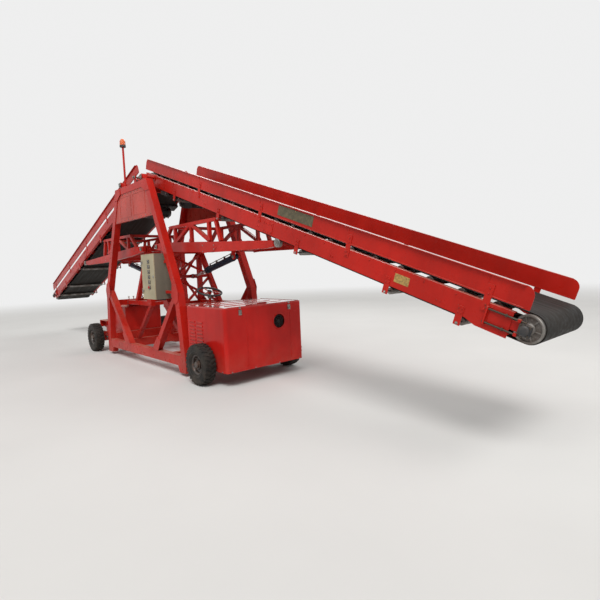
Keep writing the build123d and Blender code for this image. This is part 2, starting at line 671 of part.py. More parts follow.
def rear_axle():
    """The rear axle: a square beam under the rails, with a stub at each end."""
    z0 = TYRE_R - AXLE_SIZE / 2
    beam = block(-AXLE_SIZE / 2, AXLE_SIZE / 2, -FRAME_IN, FRAME_IN, z0, z0 + AXLE_SIZE)
    solids = [beam]
    for piece in stub(FRAME_IN - 1, TRACK_HALF - TYRE_W / 2 + 4):
        solids += both_sides(piece)
    return Pos(-WHEEL_X, 0, 0) * fused(solids)


def front_axle():
    """The front axle beam, forked at each end round a kingpin."""
    z0 = TYRE_R - AXLE_SIZE / 2
    beam_half = KINGPIN_Y - SLEEVE_R - 8
    solids = [block(-AXLE_SIZE / 2, AXLE_SIZE / 2, -beam_half, beam_half, z0, z0 + AXLE_SIZE)]
    gap = SLEEVE_H / 2 + 1
    half = [
        block(-35, 35, beam_half - 30, beam_half, TYRE_R - gap - FORK_LUG, TYRE_R + gap + FORK_LUG),
        block(-35, 35, beam_half - 1, KINGPIN_Y + 26, TYRE_R + gap, TYRE_R + gap + FORK_LUG),
        block(-35, 35, beam_half - 1, KINGPIN_Y + 26, TYRE_R - gap - FORK_LUG, TYRE_R - gap),
        Pos(0, KINGPIN_Y, TYRE_R) * Cylinder(KINGPIN_R, 2 * gap + 2 * FORK_LUG + 10),
    ]
    for piece in half:
        solids += both_sides(piece)
    return Pos(WHEEL_X, 0, 0) * fused(solids)


def knuckle():
    """The left steering knuckle: a sleeve on the kingpin, the stub axle, and an arm for the tie rod."""
    sleeve = Pos(0, KINGPIN_Y, TYRE_R) * Cylinder(SLEEVE_R, SLEEVE_H)
    arm_z0 = TIE_Z + TIE_EYE_H / 2 + 1
    arm = block(-ARM_REACH - 15, 0, KINGPIN_Y - 14, KINGPIN_Y + 14, arm_z0, arm_z0 + 18)
    pin = Pos(-ARM_REACH, KINGPIN_Y, arm_z0 - 10) * Cylinder(TIE_PIN_R, 40)
    body = fused([sleeve, arm, pin] + stub(KINGPIN_Y + 20, TRACK_HALF - TYRE_W / 2 + 4))
    body -= Pos(0, KINGPIN_Y, TYRE_R) * Cylinder(KINGPIN_R + PIN_GAP, SLEEVE_H + 2)
    return Pos(WHEEL_X, 0, 0) * body


def tie_rod():
    """The rod that ties the two steering arms, with an eye round a pin at each end."""
    rod = Pos(0, 0, TIE_Z) * Rot(90, 0, 0) * Cylinder(TIE_R, 2 * KINGPIN_Y - TIE_EYE_R)
    solids = [rod]
    for side in (-1, 1):
        solids.append(Pos(0, side * KINGPIN_Y, TIE_Z) * Cylinder(TIE_EYE_R, TIE_EYE_H))
    body = fused(solids)
    for side in (-1, 1):
        body -= Pos(0, side * KINGPIN_Y, TIE_Z) * Cylinder(TIE_PIN_R + PIN_GAP, TIE_EYE_H + 2)
    return Pos(WHEEL_X - ARM_REACH, 0, 0) * body


def subframe(x_far):
    """Two rails from the tower's end beam out over an axle, with a cross piece at the end."""
    x0 = END_X + BEAM_W / 2
    solids = [block(x_far - 60, x_far, -RAIL_Y, RAIL_Y, RAIL_Z0, RAIL_Z0 + RAIL_H)]
    for side in (-1, 1):
        y = side * RAIL_Y
        solids.append(block(x0, x_far, y - RAIL_W / 2, y + RAIL_W / 2, RAIL_Z0, RAIL_Z0 + RAIL_H))
    return fused(solids)


def hinge_barrel():
    """The moving half of a hinge, along Z: a bored barrel."""
    return Cylinder(HINGE_R, HINGE_LEN) - Cylinder(HINGE_PIN_R + PIN_GAP, HINGE_LEN + 2)


def hinge_knuckles():
    """The fixed half of a hinge, along Z: two knuckles and the pin through them."""
    middle = HINGE_LEN / 2 + 1 + 12
    ends = [Pos(0, 0, side * middle) * Cylinder(HINGE_R, 24) for side in (-1, 1)]
    return fused(ends + [Cylinder(HINGE_PIN_R, 2 * middle)])


def power_box():
    """The sheet-metal box round the power unit: walls, a floor on the rails, open at the top."""
    w = BOX_WALL
    floor = RAIL_Z0 + RAIL_H + SEAT_GAP
    middle = Pos((BOX_X0 + BOX_X1) / 2, 0, BOX_Z0)
    size_x = BOX_X1 - BOX_X0
    outer = RectangleRounded(size_x, 2 * BOX_HALF, BOX_ROUND)
    inner = RectangleRounded(size_x - 2 * w, 2 * BOX_HALF - 2 * w, BOX_ROUND - w)
    shell = middle * extrude(outer, amount=BOX_Z1 - BOX_Z0)
    shell -= middle * extrude(inner, amount=floor - BOX_Z0)
    shell -= middle * Pos(0, 0, floor + w - BOX_Z0) * extrude(inner, amount=BOX_Z1)
    # slots for the axle through the side walls, and for the rails through the inner wall
    shell -= block(-WHEEL_X - 65, -WHEEL_X + 65, -BOX_HALF - 9, BOX_HALF + 9, BOX_Z0 - 1, TYRE_R + 65)
    shell -= block(BOX_X1 - 20, BOX_X1 + 20, -RAIL_Y - RAIL_W, RAIL_Y + RAIL_W, BOX_Z0 - 1, floor)
    shell -= Pos(BOX_X0, BOX_HOLE_Y, BOX_Z1 - BOX_HOLE_DROP) * Rot(0, 90, 0) * Cylinder(BOX_HOLE_R, 60)
    x, z = LID_AXIS
    reach = HINGE_LEN / 2 + 25
    solids = [shell]
    for y in LID_HINGE_Y:
        solids.append(Pos(x, y, z) * Rot(90, 0, 0) * hinge_knuckles())
        solids.append(block(BOX_X1 - 1, x - 2, y - reach, y + reach, BOX_Z1 - 60, BOX_Z1 - 6))
        for side in (-1, 1):
            web = y + side * (reach - 12)
            solids.append(block(x - 3, x + 3, web - 12, web + 12, BOX_Z1 - 14, z))
    return fused(solids)


def box_lid():
    """The lid of the power box, a tray turned over its rim, with its hinge at the tower side."""
    gap = 3.0
    middle = Pos((BOX_X0 + BOX_X1) / 2, 0, BOX_Z1 + SEAT_GAP)
    lid = extrude(RectangleRounded(BOX_X1 - BOX_X0 - gap, 2 * BOX_HALF, BOX_ROUND), amount=LID_T)
    grip = Pos(-(BOX_X1 - BOX_X0) / 2 + 70, 0, LID_T + 12) * Box(24, 140, 30)
    solids = [middle * lid, middle * grip]
    x, z = LID_AXIS
    half = HINGE_LEN / 2
    for y in LID_HINGE_Y:
        leaf = block(BOX_X1 - 8, x, y - half, y + half, z - 2, z + 2)
        bore = round_y(x, z, HINGE_PIN_R + PIN_GAP, y - half - 1, y + half + 1)
        solids.append((leaf - bore).fuse(Pos(x, y, z) * Rot(90, 0, 0) * hinge_barrel()))
    return fused(solids)


def engine_block():
    """The power unit in the box: one plain block at its size and place."""
    floor = RAIL_Z0 + RAIL_H + SEAT_GAP + BOX_WALL + SEAT_GAP
    x1 = BOX_X1 - ENGINE_GAP
    return block(x1 - ENGINE_LEN, x1, -300, 300, floor, floor + ENGINE_H)


def oil_tank():
    """The oil tank on the front rails, with a filler cap."""
    z0 = RAIL_Z0 + RAIL_H + SEAT_GAP
    body = block(TANK_X0, TANK_X1, -TANK_HALF, TANK_HALF, z0, TANK_Z1)
    body = fillet(body.edges().filter_by(Axis.Z), 18)
    cap = Pos(TANK_X1 - 150, -180, TANK_Z1 + 20) * Cylinder(42, 42)
    return fused([body, cap])


def valve_bank():
    """Six hand valves side by side on the tank, each with a lever and a knob."""
    z0 = TANK_Z1 + SEAT_GAP
    x = TANK_X0 + 75
    solids = [block(x - 45, x + 45, -270, 270, z0, z0 + 62)]
    for i in range(6):
        y = -225 + 90 * i
        solids.append(block(x - 55, x + 55, y - 26, y + 26, z0 + 6, z0 + 74))
        solids.append(strut((x + 3, y, z0 + 60), (x + 33, y, z0 + 175), 10))
        solids.append(Pos(x + 35, y, z0 + 182) * Sphere(15))
    return fused(solids)


def control_cabinet():
    """The electric cabinet, an open-faced case between the left frame's legs."""
    w = CAB_WALL
    case = block(CAB_X0, CAB_X1, CAB_Y0, CAB_Y1, CAB_Z0, CAB_Z1)
    case -= block(CAB_X0 + w, CAB_X1 - w, CAB_Y0 + w, CAB_Y1 + 1, CAB_Z0 + w, CAB_Z1 - w)
    x, y = DOOR_AXIS
    reach = HINGE_LEN / 2 + 25
    solids = [case]
    for z in DOOR_HINGE_Z:
        solids.append(Pos(x, y, z) * hinge_knuckles())
        solids.append(block(CAB_X1 - 1, x - 2, CAB_Y1 - 60, CAB_Y1 - 6, z - reach, z + reach))
        for side in (-1, 1):
            web = z + side * (reach - 12)
            solids.append(block(x - 3, x + 3, CAB_Y1 - 14, y, web - 12, web + 12))
    return fused(solids)


def cabinet_brackets():
    """Flat arms that hold the cabinet to the left frame's rear leg."""
    arms = []
    for z in (CAB_Z0 + 100, CAB_Z1 - 120):
        x_leg = -(leg_x(max(z, KNEE_Z)) - LEG_W)
        y0 = FRAME_MID - CAB_ARM
        arms.append(block(x_leg - 30, CAB_X0, y0, y0 + 2 * CAB_ARM, z - CAB_ARM, z + CAB_ARM))
    return arms


def cabinet_door():
    """The cabinet's door, with its row of push buttons and a lock."""
    y0 = CAB_Y1 + SEAT_GAP
    solids = [block(CAB_X0, CAB_X1, y0, y0 + DOOR_T, CAB_Z0, CAB_Z1)]
    for i in range(6):
        z = CAB_Z1 - 110 - 75 * i
        solids.append(round_y(CAB_X0 + 180, z, 17, y0 + DOOR_T - 1, y0 + DOOR_T + 9))
    x, y = DOOR_AXIS
    half = HINGE_LEN / 2
    for z in DOOR_HINGE_Z:
        leaf = block(CAB_X1 - 8, x, y - 4, y, z - half, z + half)
        bore = Pos(x, y, z) * Cylinder(HINGE_PIN_R + PIN_GAP, HINGE_LEN + 2)
        solids.append((leaf - bore).fuse(Pos(x, y, z) * hinge_barrel()))
    return fused(solids)


def beacon_pole():
    """The pole of the warning lamp, on the left frame's top beam."""
    base = block(BEACON_X - 40, BEACON_X + 40, FRAME_MID - 40, FRAME_MID + 40, TOP_Z + SEAT_GAP, TOP_Z + 8)
    pole = Pos(BEACON_X, FRAME_MID, (TOP_Z + POLE_TOP) / 2 + 2) * Cylinder(POLE_R, POLE_TOP - TOP_Z - 4)
    cup = Pos(BEACON_X, FRAME_MID, POLE_TOP - 10) * Cylinder(LAMP_R - 5, 20)
    return fused([base, pole, cup])


def beacon_lamp():
    """The warning lamp's domed lens."""
    section = [(0, 0), (LAMP_R, 0), (LAMP_R - 4, LAMP_H - 35), (LAMP_R - 20, LAMP_H - 6), (0, LAMP_H)]
    lens = revolve(Plane.XZ * Polygon(*section, align=None), Axis.Z)
    return Pos(BEACON_X, FRAME_MID, POLE_TOP + SEAT_GAP) * lens


def front_step():
    """The step across the front rails: a folded plate with a towing gusset below its edge."""
    rail_top = RAIL_Z0 + RAIL_H
    top = block(STEP_X0, STEP_X1, -STEP_HALF, STEP_HALF, STEP_Z1 - 8, STEP_Z1)
    front = block(STEP_X1 - 8, STEP_X1, -STEP_HALF, STEP_HALF, STEP_Z0, STEP_Z1)
    back = block(STEP_X0, STEP_X0 + 8, -STEP_HALF, STEP_HALF, STEP_Z0 + 60, STEP_Z1)
    solids = [top, front, back]
    for side in (-1, 1):
        y = side * RAIL_Y
        solids.append(block(STEP_X0 + 40, STEP_X1 - 4, y - 30, y + 30, rail_top + SEAT_GAP, STEP_Z1 - 4))
    gusset = Pos(STEP_X1 - 16, 0, STEP_Z0 + 20) * Rot(0, 90, 0) * Cylinder(GUSSET_R, 16)
    gusset -= block(STEP_X1 - 40, STEP_X1 + 20, -STEP_HALF, STEP_HALF, STEP_Z0 + 90, STEP_Z1 + GUSSET_R)
    gusset -= Pos(STEP_X1 - 16, 0, STEP_Z0 - 80) * Rot(0, 90, 0) * Cylinder(TOW_R, 40)
    solids.append(gusset)
    return fused(solids)


def steering_gear():
    """The steering wheel on its column, on the rear knee beam."""
    x = -KNEE_BEAM_X
    z0 = KNEE_BEAM_Z1 + SEAT_GAP
    foot = block(x - 35, x + 35, 115, 185, z0, z0 + 12)
    column = Pos(x, 150, z0 + 80) * Cylinder(18, 150)
    tilted = Pos(x, 150, z0 + 165) * Rot(0, -18, 0)
    solids = [foot, column, tilted * Torus(175, 13)]
    for turn in (0, 120, 240):
        solids.append(tilted * Rot(0, 0, turn) * Pos(88, 0, 0) * Box(174, 24, 8))
    solids.append(tilted * Pos(0, 0, -10) * Cylinder(32, 36))
    return fused(solids)


def travel_motor():
    """The travel gearmotor, slung below the rear low beam on the left."""
    x = -MID_X - 190
    z = LOW_Z0 + 20
    y1 = FRAME_IN - 45
    drum = round_y(x, z, 85, y1 - 195, y1 - 5)
    flange = round_y(x, z, 105, y1 - 20, y1)
    mount = block(x, -MID_X - BEAM_W / 2 - SEAT_GAP, y1 - 165, y1 - 45, z, LOW_Z1 - 10)
    return fused([drum, flange, mount])


def transfer_roller():
    """The roller that bridges the two booms over the middle of the tower."""
    reach = FRAME_IN + 5 + BRIDGE_PLATE
    drum = round_y(0, BRIDGE_Z, BRIDGE_R, -BRIDGE_HALF, BRIDGE_HALF)
    return drum + round_y(0, BRIDGE_Z, BRIDGE_SHAFT_R, -reach, reach)


os.makedirs("parts", exist_ok=True)

left_frame = side_frame()
save("side_frame_left", left_frame.fuse(*cabinet_brackets()))
save("side_frame_right", left_frame.mirror(Plane.XZ))
save("side_panels", both_sides(side_panel()))
save("cross_beams", cross_beams())
save("transfer_roller", transfer_roller())
save("beacon_pole", beacon_pole())
save("beacon_lamp", beacon_lamp())
save("control_cabinet", control_cabinet())
save("cabinet_door", cabinet_door())

save("subframe_front", subframe(SUBFRAME_FRONT))
save("subframe_rear", subframe(SUBFRAME_REAR).mirror(Plane.YZ))
save("power_box", power_box())
save("box_lid", box_lid())
save("engine_block", engine_block())
save("oil_tank", oil_tank())
save("valve_bank", valve_bank())
save("front_step", front_step())
save("steering_gear", steering_gear())
save("travel_motor", travel_motor())

save("rear_axle", rear_axle())
save("front_axle", front_axle())
save("knuckle_left", knuckle())
save("knuckle_right", knuckle().mirror(Plane.XZ))
save("tie_rod", tie_rod())
for end, x in (("front", WHEEL_X), ("rear", -WHEEL_X)):
    for side, y_sign in (("left", 1), ("right", -1)):
        tyre, rim = wheel_parts(x, y_sign)
        save("tyre_" + end + "_" + side, tyre)
        save("rim_" + end + "_" + side, rim)

# What stands at the front is mirrored for the rear.
DOUBLES = (
    ("mast", mast),
    ("lifting_arm", lifting_arm),
    ("arm_rollers", arm_rollers),
    ("cylinder_barrel", barrel),
    ("cylinder_rod", rod),
    ("boom_frame", boom_frame),
    ("boom_skirts", boom_skirts),
    ("boom_belt", boom_belt),
    ("boom_rollers", boom_rollers),
    ("boom_drive", boom_drive),
)
for name, make in DOUBLES:
    front = make()
    save(name + "_front", front)
    if isinstance(front, list):
        save(name + "_rear", [solid.mirror(Plane.YZ) for solid in front])
    else:
        save(name + "_rear", front.mirror(Plane.YZ))
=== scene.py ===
import bmesh
import bpy
from math import cos, pi, radians, sin, tan
from mathutils import Matrix, Vector


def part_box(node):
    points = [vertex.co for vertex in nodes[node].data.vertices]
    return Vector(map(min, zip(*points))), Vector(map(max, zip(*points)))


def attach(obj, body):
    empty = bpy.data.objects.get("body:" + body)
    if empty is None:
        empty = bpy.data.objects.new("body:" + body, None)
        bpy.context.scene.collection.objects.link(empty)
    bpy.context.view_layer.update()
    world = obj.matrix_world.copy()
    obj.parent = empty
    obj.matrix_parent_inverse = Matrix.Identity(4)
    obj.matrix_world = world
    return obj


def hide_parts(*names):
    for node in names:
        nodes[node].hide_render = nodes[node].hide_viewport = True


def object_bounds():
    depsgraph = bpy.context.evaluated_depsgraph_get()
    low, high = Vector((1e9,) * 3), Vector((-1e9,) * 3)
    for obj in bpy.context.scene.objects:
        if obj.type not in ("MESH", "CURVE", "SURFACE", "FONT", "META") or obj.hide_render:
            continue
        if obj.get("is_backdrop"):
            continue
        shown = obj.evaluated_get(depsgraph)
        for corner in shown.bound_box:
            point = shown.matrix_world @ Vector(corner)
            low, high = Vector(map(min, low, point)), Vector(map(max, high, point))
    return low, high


# Mobile belt conveyor for loading and stacking: two belt booms hinged on a red steel tower that
# rolls on four tyres, each held up by a lifting arm and a hydraulic cylinder.
# X runs along the booms with the front at +X, Y is across with the left at +Y, and Z is up.
# Everything is in metres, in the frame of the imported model.
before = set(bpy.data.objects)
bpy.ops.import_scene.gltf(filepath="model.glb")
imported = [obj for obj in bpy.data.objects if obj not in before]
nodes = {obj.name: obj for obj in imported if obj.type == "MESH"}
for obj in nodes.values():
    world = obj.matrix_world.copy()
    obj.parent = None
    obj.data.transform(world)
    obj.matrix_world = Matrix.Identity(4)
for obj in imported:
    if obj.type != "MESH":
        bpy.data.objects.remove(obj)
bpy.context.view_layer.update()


# The view: a wide lens at eye height behind the machine on its left, as the photograph's upper
# right view was taken. The camera's place comes from matching named points of the machine.
EYE = Vector((-7.160, 3.600, 1.475))
EYE_TURN = radians(-41.95)
EYE_PITCH = radians(-4.30)
EYE_ROLL = radians(-2.45)
FIELD = radians(67.0)
SENSOR = 36.0
HERE = Matrix()


def moved(x, y, z):
    """A place moved away from the origin."""
    return Matrix.Translation((x, y, z))


def turned(angle, axis="Z"):
    """A place turned about an axis."""
    return Matrix.Rotation(angle, 4, axis)


def facing(at, way, front="Z"):
    """The place of a thing that is made along its own axis, put at a point and turned to a way."""
    return Matrix.Translation(at) @ Vector(way).to_track_quat(front, "Y").to_matrix().to_4x4()


def put_in(name, data, place=HERE):
    """Adds an object to the scene."""
    thing = bpy.data.objects.new(name, data)
    thing.matrix_world = place
    bpy.context.scene.collection.objects.link(thing)
    return thing


lens = bpy.data.cameras.new("camera")
lens.sensor_width = SENSOR
lens.lens = SENSOR / 2 / tan(FIELD / 2)
look = (cos(EYE_TURN) * cos(EYE_PITCH), sin(EYE_TURN) * cos(EYE_PITCH), sin(EYE_PITCH))
bpy.context.scene.camera = put_in("camera", lens, facing(EYE, look, "-Z") @ turned(EYE_ROLL))
bpy.context.scene.view_settings.view_transform = "Standard"


# The room: a pale concrete floor that fades into a white studio, one soft sun for the shadow,
# and wide soft lamps overhead whose light runs along the glossy paint.
FLOOR_HALF = 150.0
FLOOR_GREY = (0.60, 0.59, 0.57, 1.0)
FADE_FROM = 11.0
FADE_TO = 24.0
ROOM_WHITE = (0.86, 0.86, 0.86, 1.0)
ROOM_LIGHT = 0.42
SUN_LIGHT = 1.7
SUN_SPREAD = radians(24)
SUN_WAY = (0.55, -0.50, -1.0)
LAMP_AIM = Vector((0.0, 0.0, 1.6))
# lamp: place, width, length, power
LAMPS = (
    ((-4.5, 5.5, 7.5), 9.0, 1.6, 260.0),
    ((3.0, -6.0, 7.0), 9.0, 1.6, 200.0),
    ((-8.5, -2.0, 5.5), 4.0, 2.0, 120.0),
)


def wire(tree, node, sockets):
    """Links other nodes' sockets to a node's own, and sets the plain values on the rest."""
    for name, value in sockets.items():
        if isinstance(value, bpy.types.NodeSocket):
            tree.links.new(value, node.inputs[name])
        else:
            node.inputs[name].default_value = value


def add_node(tree, kind, sockets, **settings):
    """A node of a finish, with its settings and its sockets."""
    node = tree.nodes.new("ShaderNode" + kind)
    for name, value in settings.items():
        setattr(node, name, value)
    wire(tree, node, sockets)
    return node


def new_finish(name, roughness, metallic=0.0, coat=0.0, specular=0.5):
    """Starts a finish: its material, its node tree and its shader."""
    material = bpy.data.materials.new(name)
    material.use_nodes = True
    tree = material.node_tree
    shader = tree.nodes["Principled BSDF"]
    wire(tree, shader, {
        "Roughness": roughness, "Metallic": metallic, "Specular IOR Level": specular,
        "Coat Weight": coat, "Coat Roughness": 0.12,
    })
    return material, tree, shader


def own_place(tree):
    """A point's place in its piece's own coordinates."""
    return add_node(tree, "TexCoord", {}).outputs["Object"]


def speckle(tree, scale, detail=4.0, rough=0.5, stretch=(1.0, 1.0, 1.0), lean=0.0):
    """Noise in a piece's own coordinates, leaned about Y and then drawn out on each axis."""
    leaned = add_node(tree, "Mapping", {"Vector": own_place(tree), "Rotation": (0.0, lean, 0.0)})
    sized = add_node(tree, "Mapping", {"Vector": leaned.outputs["Vector"], "Scale": stretch})
    grain = {"Scale": scale, "Detail": detail, "Roughness": rough}
    return add_node(tree, "TexNoise", {"Vector": sized.outputs["Vector"], **grain}).outputs["Fac"]


def ranged(tree, value, low, high, to_low=0.0, to_high=1.0):
    """Brings a value from one range to another, and holds it there."""
    ends = {"From Min": low, "From Max": high, "To Min": to_low, "To Max": to_high}
    return add_node(tree, "MapRange", {"Value": value, **ends}).outputs["Result"]


def worked(tree, operation, a, b):
    """Two values put through one sum; either may be a plain number."""
    return add_node(tree, "Math", {0: a, 1: b}, operation=operation).outputs["Value"]


def tinted(tree, share, under, over):
    """One colour laid over another by a share; either may be a plain colour."""
    colours = {"Factor": share, "A": under, "B": over}
    return add_node(tree, "Mix", colours, data_type="RGBA").outputs["Result"]


def shaded(colour, share):
    """The same colour, darker or lighter by a share."""
    return (colour[0] * share, colour[1] * share, colour[2] * share, 1.0)


def seen_by(tree, *others):
    """1 for the camera's rays and for the others named, which see the plain white room."""
    rays = add_node(tree, "LightPath", {})
    seen = rays.outputs["Is Camera Ray"]
    for ray in others:
        seen = worked(tree, "MAXIMUM", seen, rays.outputs[ray])
    return seen


def blend_into(tree, end, share, under, over):
    """Two shaders blended by a share, as the end of a node tree."""
    blend = add_node(tree, "MixShader", {0: share, 1: under, 2: over})
    wire(tree, tree.nodes[end], {"Surface": blend.outputs["Shader"]})


floor_made = bmesh.new()
bmesh.ops.create_grid(floor_made, x_segments=1, y_segments=1, size=FLOOR_HALF)
floor_mesh = bpy.data.meshes.new("floor")
floor_made.to_mesh(floor_mesh)
floor_made.free()
put_in("floor", floor_mesh)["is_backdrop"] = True
concrete, tree, shader = new_finish("pale_concrete", 0.75)
mottle = tinted(tree, speckle(tree, 0.7, 8.0), FLOOR_GREY, shaded(FLOOR_GREY, 1.12))
wire(tree, shader, {"Base Color": mottle})
far = add_node(tree, "VectorMath", {0: own_place(tree)}, operation="LENGTH").outputs["Value"]
fade = ranged(tree, far, FADE_FROM, FADE_TO)
fade.node.interpolation_type = "SMOOTHSTEP"
white = add_node(tree, "Emission", {"Color": ROOM_WHITE}).outputs["Emission"]
whitened = worked(tree, "MULTIPLY", fade, seen_by(tree, "Is Glossy Ray"))
blend_into(tree, "Material Output", whitened, shader.outputs["BSDF"], white)
floor_mesh.materials.append(concrete)

room = bpy.data.worlds.new("room")
room.use_nodes = True
tree = room.node_tree
dim = tree.nodes["Background"]
wire(tree, dim, {"Color": (1.0, 1.0, 1.0, 1.0), "Strength": ROOM_LIGHT})
white = add_node(tree, "Background", {"Color": ROOM_WHITE}).outputs["Background"]
seen = seen_by(tree, "Is Glossy Ray", "Is Transmission Ray")
blend_into(tree, "World Output", seen, dim.outputs["Background"], white)
bpy.context.scene.world = room

sun_light = bpy.data.lights.new("soft_sun", "SUN")
sun_light.energy = SUN_LIGHT
sun_light.angle = SUN_SPREAD
put_in("soft_sun", sun_light, facing((0, 0, 0), SUN_WAY, "-Z"))
for number, (place, width, length, power) in enumerate(LAMPS):
    lamp_light = bpy.data.lights.new(f"soft_lamp_{number}", "AREA")
    lamp_light.shape = "RECTANGLE"
    lamp_light.size = width
    lamp_light.size_y = length
    lamp_light.energy = power
    lamp_place = facing(place, LAMP_AIM - Vector(place), "-Z")
    put_in(f"soft_lamp_{number}", lamp_light, lamp_place).visible_camera = False


# The tower's side frames and cross-beams: welded from rectangular steel tube and sprayed with
# vermilion enamel, which is glossy on the sides, dusty on top and scuffed at its edges.
FRAME_VERMILION = (0.47, 0.014, 0.008, 1.0)
PRIMER_BROWN = (0.075, 0.030, 0.020, 1.0)
PALE_DUST = (0.36, 0.28, 0.20, 1.0)
CHIP_WIDTH = 0.008
SMOOTH_UP_TO = radians(32)
PIVOT_X = 0.420
PIVOT_Z = 2.925
PIN_END = 0.665
BEARING_FACE = 0.650
BEARING_BOLT_X = 0.042
BEARING_BOLT_Z = 2.884
SIDES = (("left", 1), ("right", -1))


def axis_of(tree, vector, axis):
    """One axis of a vector."""
    return add_node(tree, "SeparateXYZ", {"Vector": vector}).outputs[axis]


def upward(tree):
    """How far a surface faces up, from 0 on its side to 1 on its top."""
    normal = add_node(tree, "NewGeometry", {}).outputs["Normal"]
    return ranged(tree, axis_of(tree, normal, "Z"), 0.55, 0.98)


def worn_edge(tree, width):
    """Where an outer edge is near, from how a rounded normal leaves the flat one."""
    rounded = add_node(tree, "Bevel", {"Radius": width}, samples=3).outputs["Normal"]
    flat = add_node(tree, "NewGeometry", {}).outputs["Normal"]
    compare = add_node(tree, "VectorMath", {0: rounded, 1: flat}, operation="DOT_PRODUCT")
    return ranged(tree, compare.outputs["Value"], 0.995, 0.86)


def raised(tree, shader, value, depth, strength):
    """Adds a relief of a depth in metres over what the shader's normal has already."""
    bump = add_node(tree, "Bump", {"Height": value, "Distance": depth, "Strength": strength})
    before = shader.inputs["Normal"].links
    if before:
        wire(tree, bump, {"Normal": before[0].from_socket})
    wire(tree, shader, {"Normal": bump.outputs["Normal"]})


def sprayed_enamel(name, colour, dustiness, lean=0.0, gloss=0.26):
    """Sprayed enamel on steel: patchy gloss, chipped edges, settled dust, and dirt low down."""
    material, tree, shader = new_finish(name, gloss, coat=0.04, specular=0.15)
    patches = ranged(tree, speckle(tree, 1.7, 5.0), 0.35, 0.68)
    paint = tinted(tree, patches, shaded(colour, 0.80), shaded(colour, 1.10))
    chips = ranged(tree, speckle(tree, 38.0, 6.0, 0.7), 0.56, 0.62)
    edges = worked(tree, "MULTIPLY", chips, worn_edge(tree, CHIP_WIDTH))
    pits = ranged(tree, speckle(tree, 90.0, 3.0), 0.745, 0.78, 0.0, 0.6)
    bared = worked(tree, "MAXIMUM", edges, pits)
    paint = tinted(tree, bared, paint, PRIMER_BROWN)
    runs = speckle(tree, 7.0, 5.0, stretch=(1.0, 1.0, 0.12), lean=lean)
    paint = tinted(tree, ranged(tree, runs, 0.48, 0.75, 0.0, 0.30), paint, shaded(colour, 0.42))
    scrapes = speckle(tree, 60.0, 4.0, stretch=(0.04, 1.0, 1.0), lean=lean)
    paint = tinted(tree, ranged(tree, scrapes, 0.64, 0.72, 0.0, 0.35), paint, shaded(colour, 0.55))
    film = ranged(tree, speckle(tree, 5.5, 7.0, 0.65), 0.34, 0.66, 0.15, 1.0)
    settled = worked(tree, "MULTIPLY", worked(tree, "MULTIPLY", upward(tree), film), dustiness)
    height = axis_of(tree, own_place(tree), "Z")
    low = worked(tree, "MULTIPLY", ranged(tree, height, 0.55, 0.06), film)
    dirt = worked(tree, "MAXIMUM", settled, worked(tree, "MULTIPLY", low, 0.15))
    veil = worked(tree, "MAXIMUM", dirt, ranged(tree, film, 0.0, 1.0, 0.0, 0.012))
    sheen = ranged(tree, speckle(tree, 9.0, 6.0), 0.3, 0.75, gloss - 0.03, gloss + 0.15)
    bare_dull = worked(tree, "MULTIPLY", bared, 0.7)
    dull = worked(tree, "MAXIMUM", worked(tree, "MULTIPLY", dirt, 0.9), bare_dull)
    wire(tree, shader, {
        "Base Color": tinted(tree, veil, paint, PALE_DUST),
        "Roughness": worked(tree, "MAXIMUM", sheen, dull),
    })
    raised(tree, shader, speckle(tree, 150.0, 2.0), 0.0006, 0.35)
    raised(tree, shader, speckle(tree, 2.6, 2.0), 0.006, 0.22)
    return material


def mottled(name, gloss, grain, span, colours, dull=None, relief=None, **more):
    """A finish of two colours in patches, whose gloss may go with them, over a fine relief."""
    material, tree, shader = new_finish(name, gloss, **more)
    patches = ranged(tree, speckle(tree, *grain), *span)
    wire(tree, shader, {"Base Color": tinted(tree, patches, *colours)})
    if dull:
        wire(tree, shader, {"Roughness": ranged(tree, patches, 0.0, 1.0, *dull)})
    if relief:
        *fine, depth, strength = relief
        raised(tree, shader, speckle(tree, *fine), depth, strength)
    return material


def dress(material, *names):
    """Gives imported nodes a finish."""
    for name in names:
        for place in nodes[name].material_slots:
            place.material = material


def keep_piece(name, made, body, material, edge=0.0):
    """Closes a shape and adds it as a piece that moves with a body of the machine."""
    bmesh.ops.remove_doubles(made, verts=made.verts, dist=0.00004)
    bmesh.ops.recalc_face_normals(made, faces=made.faces)
    mesh = bpy.data.meshes.new(name)
    made.to_mesh(mesh)
    made.free()
    mesh.materials.append(material)
    mesh.shade_smooth()
    mesh.set_sharp_from_angle(angle=SMOOTH_UP_TO)
    piece = put_in(name, mesh)
    if edge:
        soft = piece.modifiers.new("edges", "BEVEL")
        soft.width = edge
        soft.segments = 2
        soft.limit_method = "ANGLE"
        soft.angle_limit = radians(40)
    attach(piece, body)
    return piece


def add_round(made, place, *rounds):
    """Round bars on their own Z: radius, foot, head, sides, and a cone's radius at its head."""
    for radius, low, high, sides, *top in rounds:
        bmesh.ops.create_cone(
            made, cap_ends=True, segments=sides, radius1=radius, radius2=top[0] if top else radius,
            depth=high - low, matrix=place @ moved(0, 0, (low + high) / 2),
        )


def add_bolt(made, place, size):
    """A washer and a hexagon head, as wide as its size, standing on its own Z."""
    add_round(made, place, (0.92 * size, 0.0, 0.13 * size, 10))
    add_round(made, place, (0.58 * size, 0.12 * size, 0.52 * size, 6))
    add_round(made, place, (0.58 * size, 0.51 * size, 0.62 * size, 6, 0.44 * size))


def outward(x, y, z, hand):
    """The place of a thing on one side of the machine, facing away from its middle plane."""
    return facing((x, hand * y, z), (0, hand, 0))


def ring_bolts(made, place, count, radius, rise, size, start=0.0):
    """Bolts in a ring, standing at one height on a place."""
    for turn in range(count):
        spoke = place @ turned((turn + start) * 2 * pi / count)
        add_bolt(made, spoke @ moved(radius, 0, rise), size)


